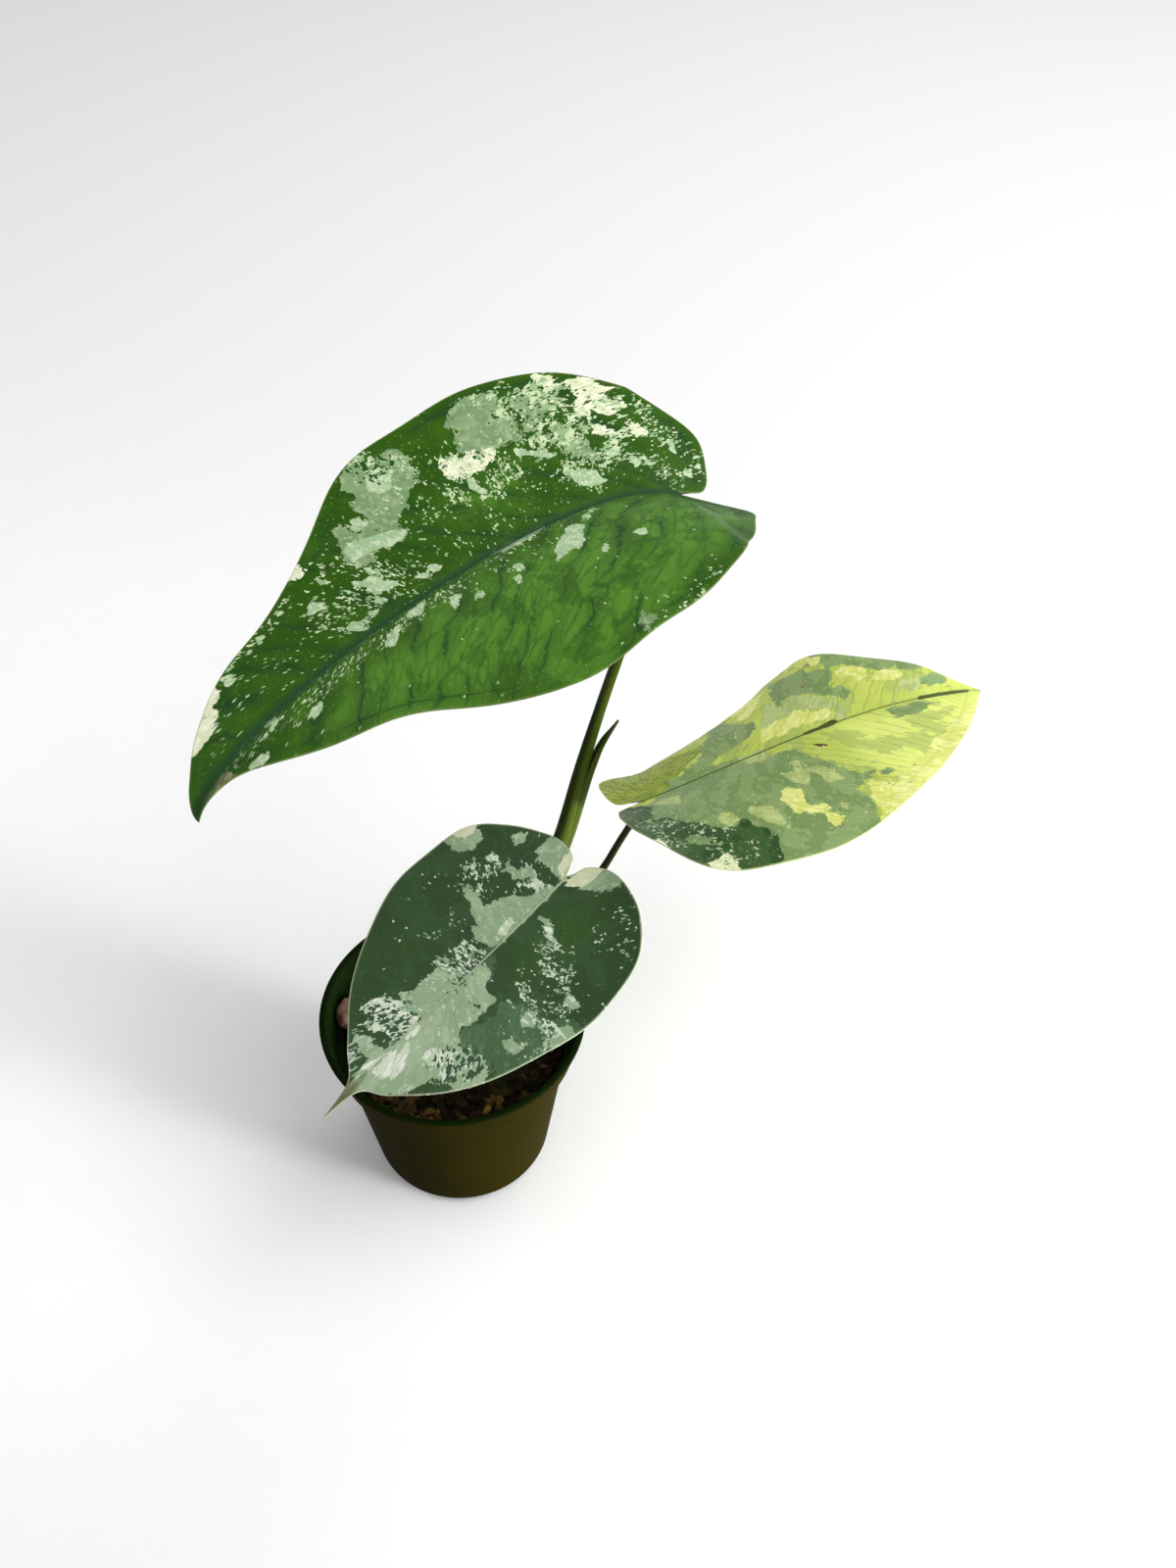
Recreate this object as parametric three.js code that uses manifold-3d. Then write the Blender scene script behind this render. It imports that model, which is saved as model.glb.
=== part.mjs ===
// Potted variegated syngonium: three arrow-shaped leaves on long petioles, in a nursery pot.
// Millimetres, +Z up. The origin is the centre of the pot's underside, and the front is -Y.

import * as THREE from "three";
import { mergeVertices } from "three/addons/utils/BufferGeometryUtils.js";
import Module from "manifold-3d";

const wasm = await Module();
wasm.setup();

// Driving dimensions of the plant and its pot
const clearance = 0.3;
const pot = {
  height: 86,
  rimRadius: 52.5,
  lipHeight: 1.6,
  collarHeight: 15,
  collarTopRadius: 51,
  collarFootRadius: 48.7,
  bodyTopRadius: 45.7,
  baseRadius: 35.5,
  baseCorner: 6,
  wall: 1.25,
  floor: 1.5,
  holeRadius: 4,
  holeCircle: 24,
  holes: 6,
  sides: 60,
};
const mix = {
  level: 68.5,
  bumps: 1.6,
  rings: 8,
  chips: 54,
  chipLength: [6, 13],
  chipTurn: 137.5,
  sides: 48,
  seed: 11,
};
const nugget = { centre: [-40.2, 6.5, 74.6], size: [15, 14.5, 10], lean: 12 };
const stem = {
  path: [[12.3, 8.6, 44], [15.5, 10.2, 62], [18.7, 12.6, 77], [21.6, 14.6, 90]],
  footRadius: 5.2,
  topRadius: 4.3,
  ringAt: 0.62,
  ringRise: 0.45,
  ringWidth: 0.035,
  sides: 20,
  steps: 20,
};
const blade = {
  thickness: 0.9,
  ridgeWidth: 3.6,
  ridgeDepth: 1.3,
  rows: 30,
  columns: 6,
  pad: [-2.6, 2.4],
  veinSpread: 2,
};

// A seeded random number between 0 and 1, the same on every run
function seededRandom(seed) {
  let state = seed;
  return () => {
    state = (state * 1664525 + 1013904223) % 4294967296;
    return state / 4294967296;
  };
}

const vector = (point) => new THREE.Vector3(...point);
const between = THREE.MathUtils.lerp;
const degrees = THREE.MathUtils.degToRad;

// A closed three.js shape as a solid: corners are merged and flat slivers are dropped
function solidOf(geometry) {
  const bare = geometry.clone();
  bare.deleteAttribute("normal");
  bare.deleteAttribute("uv");
  const merged = mergeVertices(bare, 1e-4);
  const corners = merged.index.array;
  const kept = [];
  for (let i = 0; i < corners.length; i += 3) {
    const [a, b, c] = corners.slice(i, i + 3);
    if (a !== b && b !== c && c !== a) kept.push(a, b, c);
  }
  const mesh = new wasm.Mesh({
    numProp: 3,
    vertProperties: new Float32Array(merged.attributes.position.array),
    triVerts: new Uint32Array(kept),
  });
  return new wasm.Manifold(mesh);
}

// A solid back as a three.js shape
function geometryOf(solid) {
  const mesh = solid.getMesh();
  const geometry = new THREE.BufferGeometry();
  geometry.setAttribute("position", new THREE.BufferAttribute(mesh.vertProperties, 3));
  geometry.setIndex(new THREE.BufferAttribute(mesh.triVerts, 1));
  geometry.computeVertexNormals();
  return geometry;
}

// The largest body of a solid, without the scraps that a cut leaves
function largestBody(solid) {
  const bodies = solid.decompose();
  bodies.sort((a, b) => b.volume() - a.volume());
  return bodies[0];
}

// A profile of [radius, height] points turned round the Z axis
function turned(profile, sides) {
  const points = profile.map(([radius, height]) => new THREE.Vector2(radius, height));
  return new THREE.LatheGeometry(points, sides).rotateX(Math.PI / 2);
}

// A rod along a curve: radiusAt(t) gives its half width and half depth at t from 0 to 1
function bentRod(curve, radiusAt, sides, steps, grow = 0) {
  const rod = new THREE.CylinderGeometry(1, 1, 1, sides, steps);
  const frames = curve.computeFrenetFrames(steps);
  const places = rod.attributes.position;
  for (let i = 0; i < places.count; i++) {
    const step = Math.round((places.getY(i) + 0.5) * steps);
    const [half, depth] = radiusAt(step / steps);
    const point = curve.getPointAt(step / steps);
    point.addScaledVector(frames.binormals[step], places.getX(i) * (half + grow));
    point.addScaledVector(frames.normals[step], places.getZ(i) * (depth + grow));
    if (grow > 0 && (step === 0 || step === steps)) {
      point.addScaledVector(frames.tangents[step], step === 0 ? -grow : grow);
    }
    places.setXYZ(i, point.x, point.y, point.z);
  }
  return rod;
}

function smoothCurve(points) {
  return new THREE.CatmullRomCurve3(points.map(vector), false, "centripetal");
}

// Pot: an injection moulded nursery pot with a rolled lip, a deep collar and a tapered body
function outerProfile() {
  const corner = pot.baseCorner;
  const collarFoot = pot.height - pot.collarHeight;
  const wallSlope = (pot.bodyTopRadius - pot.baseRadius) / collarFoot;
  const points = [[0, 0]];
  for (let step = 0; step <= 4; step++) {
    const turn = (step / 4) * (Math.PI / 2);
    const height = corner * (1 - Math.cos(turn));
    const radius = pot.baseRadius + wallSlope * height - corner * (1 - Math.sin(turn));
    points.push([radius, height]);
  }
  points.push([pot.bodyTopRadius, collarFoot - 0.8]);
  points.push([pot.collarFootRadius, collarFoot]);
  points.push([pot.collarTopRadius, pot.height - pot.lipHeight]);
  points.push([pot.rimRadius - 0.3, pot.height - pot.lipHeight]);
  points.push([pot.rimRadius, pot.height - pot.lipHeight / 2]);
  points.push([pot.rimRadius - 0.5, pot.height]);
  return points;
}

// The space inside the pot, drawn in by a gap, from the floor up to the rim
function innerProfile(gap) {
  const inset = pot.wall + gap;
  const collarFoot = pot.height - pot.collarHeight + pot.wall;
  const corner = pot.baseCorner - pot.wall;
  const floor = pot.floor + gap;
  const wallSlope = (pot.bodyTopRadius - pot.baseRadius) / (collarFoot - pot.wall);
  const points = [[0, floor]];
  for (let step = 0; step <= 3; step++) {
    const turn = (step / 3) * (Math.PI / 2);
    const height = floor + corner * (1 - Math.cos(turn));
    const radius = pot.baseRadius + wallSlope * height - inset - corner * (1 - Math.sin(turn));
    points.push([radius, height]);
  }
  points.push([pot.bodyTopRadius - inset, collarFoot - 0.8 + gap]);
  points.push([pot.collarFootRadius - inset, collarFoot + gap]);
  points.push([pot.collarTopRadius - inset - 0.2, pot.height]);
  return points;
}

function potSolid() {
  const profile = outerProfile().concat(innerProfile(0).reverse());
  let solid = solidOf(turned(profile, pot.sides));
  for (let hole = 0; hole < pot.holes; hole++) {
    const turn = (hole / pot.holes) * 2 * Math.PI;
    const drill = new THREE.CylinderGeometry(pot.holeRadius, pot.holeRadius, 8, 16);
    drill.rotateX(Math.PI / 2);
    drill.translate(pot.holeCircle * Math.cos(turn), pot.holeCircle * Math.sin(turn), 0);
    solid = solid.subtract(solidOf(drill));
  }
  return solid;
}

// Potting mix: chunky bark with a bumpy top, and bark chips that stand out of it
function mixHeight(x, y) {
  const swell = Math.sin(x * 0.17 + 1.1) * Math.cos(y * 0.21 - 0.4);
  const crumb = Math.sin(x * 0.52 + y * 0.31) * Math.cos(y * 0.47 - x * 0.12);
  return mix.level + mix.bumps * (0.6 * swell + 0.4 * crumb);
}

function mixBody() {
  const inner = innerProfile(clearance);
  const wallTop = inner[inner.length - 3];
  const foot = inner.slice(0, -3);
  const slope = (wallTop[0] - foot.at(-1)[0]) / (wallTop[1] - foot.at(-1)[1]);
  const edge = wallTop[0] - slope * (wallTop[1] - mix.level);
  const profile = foot.concat([[edge, mix.level]]);
  for (let ring = mix.rings - 1; ring >= 0; ring--) {
    profile.push([(edge * ring) / mix.rings, mix.level]);
  }
  const body = turned(profile, mix.sides);
  const places = body.attributes.position;
  for (let i = 0; i < places.count; i++) {
    if (Math.abs(places.getZ(i) - mix.level) > 0.01) continue;
    const radius = Math.hypot(places.getX(i), places.getY(i));
    const fade = THREE.MathUtils.smoothstep(edge - radius, 0, 4);
    const rise = mixHeight(places.getX(i), places.getY(i)) - mix.level;
    places.setZ(i, mix.level + rise * fade);
  }
  return solidOf(body);
}

function barkChip(random) {
  const [shortest, longest] = mix.chipLength;
  const length = between(shortest, longest, random() ** 1.6);
  const chip = new THREE.IcosahedronGeometry(0.5, 0);
  const places = chip.attributes.position;
  const squeeze = 0.75 + 0.5 * random();
  for (let i = 0; i < places.count; i++) {
    const lean = 1 + 0.35 * Math.sin(places.getX(i) * 7 + squeeze * 9);
    places.setXYZ(
      i,
      places.getX(i) * length,
      places.getY(i) * length * 0.62 * squeeze * lean,
      places.getZ(i) * length * 0.42 * lean,
    );
  }
  chip.rotateX((random() - 0.5) * 1.1);
  chip.rotateY((random() - 0.5) * 1.1);
  chip.rotateZ(random() * Math.PI);
  return chip;
}

function mixSolid(openings) {
  const random = seededRandom(mix.seed);
  const reach = pot.bodyTopRadius - pot.wall;
  let chips = null;
  for (let i = 0; i < mix.chips; i++) {
    const radius = reach * Math.sqrt((i + 0.5) / mix.chips);
    const turn = degrees(mix.chipTurn) * i + random() * 0.5;
    const chip = barkChip(random);
    const x = radius * Math.cos(turn);
    const y = radius * Math.sin(turn);
    chip.translate(x, y, mixHeight(x, y) + 0.4 - 1.2 * random());
    chips = chips ? chips.add(solidOf(chip)) : solidOf(chip);
  }
  chips = chips.intersect(solidOf(turned(cavityProfile(2 * clearance), pot.sides)));
  let solid = mixBody().add(chips);
  for (const opening of openings) solid = solid.subtract(opening);
  return largestBody(solid);
}

function cavityProfile(gap) {
  return innerProfile(gap).concat([[0, pot.height]]);
}

// The pale nugget that lies against the pot's wall, with a grown copy for its seat in the mix
function nuggetSolid(grow) {
  const stone = new THREE.IcosahedronGeometry(0.5, 1);
  const places = stone.attributes.position;
  for (let i = 0; i < places.count; i++) {
    const knob = 1 + 0.1 * Math.sin(places.getX(i) * 9 + 1) * Math.cos(places.getY(i) * 11);
    places.setXYZ(
      i,
      places.getX(i) * (nugget.size[0] + 2 * grow) * knob,
      places.getY(i) * (nugget.size[1] + 2 * grow) * knob,
      places.getZ(i) * (nugget.size[2] + 2 * grow) * knob,
    );
  }
  stone.rotateY(degrees(nugget.lean));
  stone.translate(...nugget.centre);
  return solidOf(stone).intersect(solidOf(turned(cavityProfile(clearance), pot.sides)));
}

// Stem: short, leaning a little, with a ring where an old leaf stood
function stemSolid(grow) {
  const radiusAt = (t) => {
    const ring = stem.ringRise * Math.exp(-(((t - stem.ringAt) / stem.ringWidth) ** 2));
    const radius = between(stem.footRadius, stem.topRadius, t) + ring;
    return [radius, radius];
  };
  return solidOf(bentRod(smoothCurve(stem.path), radiusAt, stem.sides, stem.steps, grow));
}

// Leaves. Each midrib is a cubic curve from the petiole to the tip. The blade's two halves are
// drawn flat as outlines of [along the midrib, out from it], and then folded up along the midrib
// by `fold`, curled by `curl` degrees for each millimetre out, and turned about it by `roll`.
// Pairs give the value at the base and the change from there to the tip.
const leaves = {
  leaf_upper: {
    midrib: [[81, 52, 301], [44, 46, 316], [-71, -38, 273], [-65, -53, 258]],
    roll: [22, -10],
    fold: [9, -8],
    sag: 0.01,
    halves: [
      {
        side: 1,
        lift: 13,
        curl: [0.2, 0.01],
        outline: [
          [-13, 7], [-18, 22], [-18, 42], [-5, 62], [15, 84],
          [46, 83], [84, 73], [118, 44], [163, 24], [182, 8],
        ],
      },
      {
        side: -1,
        lift: -2,
        curl: [-0.17, -0.19],
        outline: [
          [-10, 6], [-18, 22], [-13, 38], [-3, 59], [16, 80],
          [46, 85], [86, 77], [121, 46], [156, 23], [174, 7],
        ],
      },
    ],
  },
  leaf_right: {
    midrib: [[76, 39, 167], [122, 51, 181], [158, 51, 211], [205, 84, 180]],
    roll: [-33, 37],
    fold: [9, -3],
    sag: 0.04,
    halves: [
      {
        side: 1,
        lift: 9,
        curl: [-0.2, -0.09],
        outline: [
          [-11, 6], [-12, 18], [-11, 34], [-6, 56], [10, 77],
          [35, 82], [66, 68], [95, 41], [119, 20], [136, 6],
        ],
      },
      {
        side: -1,
        lift: 12,
        curl: [-0.52, -0.04],
        outline: [
          [-12, 6], [-16, 20], [-16, 38], [-6, 56], [9, 79],
          [35, 81], [67, 69], [96, 42], [120, 20], [134, 6],
        ],
      },
    ],
  },
  leaf_front: {
    midrib: [[44, 0, 166], [12, -30, 150], [-19, -57, 140], [-40, -71, 121]],
    roll: [16, -21],
    fold: [2, 3],
    sag: -0.02,
    halves: [
      {
        side: 1,
        lift: -5,
        curl: [0.06, 0.02],
        outline: [
          [-9, 4], [-12, 14], [-11, 25], [-5, 40], [8, 53],
          [29, 54], [54, 47], [80, 30], [96, 14], [105, 4],
        ],
      },
      {
        side: -1,
        lift: -1,
        curl: [-0.04, -0.03],
        outline: [
          [-9, 4], [-13, 14], [-12, 26], [-6, 40], [8, 53],
          [29, 54], [54, 46], [80, 30], [96, 14], [104, 4],
        ],
      },
    ],
  },
};

// The frame of a leaf at a distance along its midrib: a point with its forward, side and up
function midribFrame(leaf, curve, length, along) {
  const share = THREE.MathUtils.clamp(along / length, 0, 1);
  const point = curve.getPointAt(share);
  const forward = curve.getTangentAt(share);
  const level = new THREE.Vector3(0, 0, 1).addScaledVector(forward, -forward.z).normalize();
  const across = new THREE.Vector3().crossVectors(forward, level);
  const roll = degrees(leaf.roll[0] + leaf.roll[1] * (along / length));
  const up = level.clone().multiplyScalar(Math.cos(roll)).addScaledVector(across, Math.sin(roll));
  const side = across.multiplyScalar(Math.cos(roll)).addScaledVector(level, -Math.sin(roll));
  const behind = Math.min(along, 0);
  const sag = degrees(leaf.sag);
  point.addScaledVector(forward, Math.sin(sag * behind) / sag);
  point.addScaledVector(up, (1 - Math.cos(sag * behind)) / sag);
  return { point, side, up, share: along / length, behind };
}

// A point of the blade's middle surface, and the way its upper face looks there
function bladePoint(leaf, half, curve, length, [along, out]) {
  const frame = midribFrame(leaf, curve, length, along);
  const lift = degrees(half.lift) * ((-5 * frame.behind) / length);
  const start = degrees(leaf.fold[0] + leaf.fold[1] * frame.share) + lift;
  const curl = degrees(half.curl[0] + half.curl[1] * frame.share);
  const end = start + curl * out;
  const point = frame.point.clone();
  point.addScaledVector(frame.side, (half.side * (Math.sin(end) - Math.sin(start))) / curl);
  point.addScaledVector(frame.up, (Math.cos(start) - Math.cos(end)) / curl);
  const facing = frame.up.clone().multiplyScalar(Math.cos(end));
  facing.addScaledVector(frame.side, -half.side * Math.sin(end));
  return { point, facing: out < 0.01 ? frame.up.clone() : facing };
}

// One vein row of a half, from the midrib out to the margin, as points [along, out]
function veinRow(half, length, share) {
  const [padBack, padOut] = blade.pad;
  const outline = [[padBack - 0.6, padOut], ...half.outline, [length, 0]];
  const margin = new THREE.SplineCurve(outline.map((place) => new THREE.Vector2(...place)));
  const start = new THREE.Vector2(padBack + (length - padBack) * share ** blade.veinSpread, 0);
  const end = margin.getPoint(share);
  const bend = new THREE.Vector2(start.x + 0.35 * (end.x - start.x), 0.55 * end.y);
  const vein = new THREE.QuadraticBezierCurve(start, bend, end);
  const reach = vein.getLength();
  const ridge = Math.min(0.4, (blade.ridgeWidth * (1 - 0.6 * share)) / 2 / reach);
  const row = [[start.x, 0]];
  for (let column = 1; column <= blade.columns; column++) {
    const t = between(ridge, 1, (column - 1) / (blade.columns - 1));
    const place = vein.getPoint(t);
    row.push([place.x, Math.max(place.y, 0)]);
  }
  return row;
}

// A whole leaf: two faces a blade's thickness apart, joined round the margin, with the midrib
// standing out below. `grow` makes it thicker and wider all round.
function leafGeometry(leaf, grow = 0) {
  const curve = new THREE.CubicBezierCurve3(...leaf.midrib.map(vector));
  const length = curve.getLength();
  const { rows, columns } = blade;
  const positions = [];
  const above = new Map();
  const below = new Map();
  const addPoint = (key, half, place, share, column) => {
    if (above.has(key)) return;
    const { point, facing } = bladePoint(leaf, half, curve, length, place);
    const ridge = column === 0 ? blade.ridgeDepth * (1 - share) + 0.15 : 0;
    const top = point.clone().addScaledVector(facing, blade.thickness / 2 + grow);
    const foot = point.clone().addScaledVector(facing, -blade.thickness / 2 - ridge - grow);
    above.set(key, positions.length / 3);
    positions.push(...top.toArray());
    below.set(key, positions.length / 3);
    positions.push(...foot.toArray());
  };
  const keyOf = (half, row, column) => {
    if (row === rows) return "tip";
    return column === 0 ? `rib ${row}` : `${half.side} ${row} ${column}`;
  };
  for (const half of leaf.halves) {
    for (let row = 0; row < rows; row++) {
      const places = veinRow(half, length, row / rows);
      places.forEach((place, column) => {
        addPoint(keyOf(half, row, column), half, place, row / rows, column);
      });
    }
    addPoint("tip", half, [length, 0], 1, 1);
  }

  const faces = [];
  const addFace = (a, b, c, side) => {
    if (a === b || b === c || c === a) return;
    const order = side > 0 ? [a, b, c] : [a, c, b];
    faces.push(...order.map((key) => above.get(key)));
    faces.push(...order.map((key) => below.get(key)).reverse());
  };
  const addEdge = (a, b, side) => {
    const [from, to] = side > 0 ? [a, b] : [b, a];
    faces.push(above.get(from), below.get(from), above.get(to));
    faces.push(above.get(to), below.get(from), below.get(to));
  };
  for (const half of leaf.halves) {
    for (let row = 0; row < rows; row++) {
      for (let column = 0; column < columns; column++) {
        const a = keyOf(half, row, column);
        const b = keyOf(half, row, column + 1);
        const c = keyOf(half, row + 1, column + 1);
        const d = keyOf(half, row + 1, column);
        addFace(a, b, c, half.side);
        addFace(a, c, d, half.side);
        if (row === 0) addEdge(a, b, half.side);
      }
      addEdge(keyOf(half, row, columns), keyOf(half, row + 1, columns), half.side);
    }
  }
  const geometry = new THREE.BufferGeometry();
  geometry.setAttribute("position", new THREE.Float32BufferAttribute(positions, 3));
  geometry.setIndex(faces);
  return geometry;
}

// Petioles. Each path runs on from its last point to the leaf's base; radii are given along it.
const petioles = {
  petiole_upper: {
    leaf: "leaf_upper",
    path: [
      [19.4, 12.9, 78], [23.6, 16.2, 92], [33.5, 22, 126], [43.6, 27.7, 160],
      [50.6, 35, 188], [58, 43, 213], [69.5, 49, 254], [79.4, 52.4, 292],
    ],
    radii: [[0, 5.6], [0.1, 4.3], [0.35, 3.1], [0.6, 2.1], [1, 1.7]],
    sheath: {
      path: [
        [24.6, 16.8, 90], [35.6, 23.2, 126], [46, 28.4, 160],
        [54.2, 36.2, 189], [58, 39.8, 197], [63.8, 42, 206.2],
      ],
      radii: [[0, 3.4], [0.5, 2.2], [0.85, 1.9], [0.93, 1.4], [1, 0.45]],
    },
  },
  petiole_right: {
    leaf: "leaf_right",
    path: [
      [17.8, 13, 73], [25.4, 17.6, 82], [38, 24.5, 100], [51, 31, 120],
      [59.3, 34.4, 133], [66.4, 37.4, 147.5], [72.6, 38.6, 160],
    ],
    radii: [[0, 4.2], [0.14, 2.7], [0.4, 1.9], [0.7, 1.4], [1, 1.35]],
  },
  petiole_front: {
    leaf: "leaf_front",
    path: [
      [18.8, 11, 78], [24.6, 7.2, 88], [34, 4.6, 109], [41, 2.6, 134], [43.6, 0.8, 156],
    ],
    radii: [[0, 4.1], [0.14, 2.7], [0.4, 2], [0.7, 1.6], [1, 1.5]],
  },
};

// The value at t of a list of [t, value] steps, straight between them
function valueAt(steps, t) {
  const after = Math.max(1, steps.findIndex(([place]) => place >= t));
  const [fromT, from] = steps[after - 1];
  const [toT, to] = steps[after];
  return between(from, to, (t - fromT) / (toT - fromT));
}

function petioleRod({ path, radii, leaf }, grow) {
  const curve = smoothCurve([...path, leaves[leaf].midrib[0]]);
  const radiusAt = (t) => [valueAt(radii, t), valueAt(radii, t)];
  return solidOf(bentRod(curve, radiusAt, 12, 24, grow));
}

function petioleSolid(petiole, around) {
  const { sheath, leaf } = petiole;
  let solid = petioleRod(petiole, 0);
  if (sheath) {
    const radiusAt = (t) => [valueAt(sheath.radii, t), valueAt(sheath.radii, t) * 0.7];
    solid = solid.add(solidOf(bentRod(smoothCurve(sheath.path), radiusAt, 8, 20)));
  }
  solid = solid.subtract(solidOf(leafGeometry(leaves[leaf], clearance)));
  for (const piece of around) solid = solid.subtract(piece);
  return largestBody(solid);
}

const finishes = {
  pot: { color: "#3a3816", roughness: 0.5 },
  potting_mix: { color: "#33231a", roughness: 0.95 },
  mix_nugget: { color: "#a9826c", roughness: 0.9 },
  stem: { color: "#4a5a1e", roughness: 0.55 },
  petiole: { color: "#3f5210", roughness: 0.45 },
  leaf_upper: { color: "#2f6a22", roughness: 0.4 },
  leaf_right: { color: "#a9bb4a", roughness: 0.4 },
  leaf_front: { color: "#3a5f3c", roughness: 0.4 },
};

function namedMesh(name, geometry, finish) {
  const material = new THREE.MeshStandardMaterial({ ...finish, metalness: 0, flatShading: true });
  const mesh = new THREE.Mesh(geometry, material);
  mesh.name = name;
  return mesh;
}

const group = new THREE.Group();
group.add(namedMesh("pot", geometryOf(potSolid()), finishes.pot));

const stemSeat = stemSolid(clearance);
const nuggetSeat = nuggetSolid(clearance);
group.add(namedMesh("mix_nugget", geometryOf(nuggetSolid(0)), finishes.mix_nugget));
group.add(namedMesh("stem", geometryOf(stemSolid(0)), finishes.stem));

const petioleSeats = [];
for (const [name, petiole] of Object.entries(petioles)) {
  const solid = petioleSolid(petiole, [stemSeat, ...petioleSeats]);
  group.add(namedMesh(name, geometryOf(solid), finishes.petiole));
  petioleSeats.push(petioleRod(petiole, clearance));
}

const mixOpenings = [stemSeat, nuggetSeat, ...petioleSeats];
group.add(namedMesh("potting_mix", geometryOf(mixSolid(mixOpenings)), finishes.potting_mix));

for (const [name, leaf] of Object.entries(leaves)) {
  group.add(namedMesh(name, leafGeometry(leaf), finishes[name]));
}

export default group;
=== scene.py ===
import bpy
import bmesh
import math
import random
from functools import partial
import numpy as np
from mathutils import Matrix, Vector, noise


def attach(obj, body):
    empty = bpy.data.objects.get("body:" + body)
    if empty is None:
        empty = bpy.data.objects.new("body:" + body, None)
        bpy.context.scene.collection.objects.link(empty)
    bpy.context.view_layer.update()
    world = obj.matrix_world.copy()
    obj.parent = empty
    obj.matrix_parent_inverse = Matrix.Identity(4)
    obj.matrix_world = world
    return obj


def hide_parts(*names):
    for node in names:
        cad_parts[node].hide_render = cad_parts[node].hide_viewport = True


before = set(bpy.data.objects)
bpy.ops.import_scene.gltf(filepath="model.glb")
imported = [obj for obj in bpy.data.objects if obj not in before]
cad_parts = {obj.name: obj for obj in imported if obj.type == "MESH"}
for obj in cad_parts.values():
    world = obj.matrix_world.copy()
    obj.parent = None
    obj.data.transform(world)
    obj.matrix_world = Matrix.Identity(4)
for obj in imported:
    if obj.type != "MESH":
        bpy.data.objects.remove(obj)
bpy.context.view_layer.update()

mm = 0.001
print("frame loaded:", len(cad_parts), "nodes")


# Small helpers

def hexColour(text):
    channels = [int(text[i:i + 2], 16) / 255 for i in (1, 3, 5)]
    linear = [c / 12.92 if c <= 0.04045 else ((c + 0.055) / 1.055) ** 2.4 for c in channels]
    return (*linear, 1.0)


def addNode(tree, kind, inputs=(), **settings):
    # inputs go by name or in the node's own order; a node stands for its first output, text for a colour
    node = tree.nodes.new("ShaderNode" + kind)
    for name, value in settings.items():
        setattr(node, name, value)
    for name, value in inputs.items() if isinstance(inputs, dict) else enumerate(inputs):
        if isinstance(value, str):
            value = hexColour(value)
        if isinstance(value, bpy.types.Node):
            value = value.outputs[0]
        if isinstance(value, bpy.types.NodeSocket):
            tree.links.new(value, node.inputs[name])
        else:
            node.inputs[name].default_value = value
    return node


def newMaterial(name):
    # an empty material, and addNode bound to its tree
    material = bpy.data.materials.new(name)
    material.use_nodes = True
    material.node_tree.nodes.clear()
    return material, partial(addNode, material.node_tree)


def meshPiece(name, bm, material, replaced, smooth=True):
    # millimetres in the bmesh become metres in the piece
    bmesh.ops.transform(bm, matrix=Matrix.Scale(mm, 4), verts=bm.verts)
    mesh = bpy.data.meshes.new(name)
    bm.to_mesh(mesh)
    bm.free()
    mesh.polygons.foreach_set("use_smooth", [smooth] * len(mesh.polygons))
    mesh.materials.append(material)
    piece = bpy.data.objects.new(name, mesh)
    bpy.context.scene.collection.objects.link(piece)
    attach(piece, "root")
    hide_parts(replaced)
    return piece


# Leaf blades: the same midribs, folds, curls and outlines as the frame's leaves, in millimetres

blade = {
    "thickness": 0.5,
    "pad": (-2.6, 2.4), "padStep": 0.6,                 # the blade's width where the petiole joins it
    "rows": 168, "columns": 52, "rimSteps": 170,
    "ribColumns": (0, 0.45, 0.95, 1.6, 2.5),            # millimetres from the midrib
    "veinSpread": 2, "veinBow": (0.35, 0.55),
    "sideVein": {"width": 1.3, "depth": 0.2, "ridge": 0.3},
    "pillow": {"width": 5, "height": 0.35, "level": 0.6},
    "wave": {"height": 0.7, "length": 37, "band": 22, "fromRib": 20},
    "groove": {"depth": 0.3, "width": 1.1},
    "keel": {"depth": 1.15, "least": 0.15, "width": 1.15},
    "calm": {"rim": 7, "rib": 6, "tip": 0.12},          # relief fades out towards these
    "edgeVein": 4.5, "fanWidth": 45, "veinShare": 0.8,
    "waver": [(2.6, 10), (1.7, 9, 23), (1.1, 6.5, 17)],     # how far the side veins waver, and how slowly
    "waverShift": (0.4, 2.1, 4),                            # keeps the halves unlike
    "grainShare": 5 / 6, "halfShift": 40,
    "liftRate": 5,
}

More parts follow.
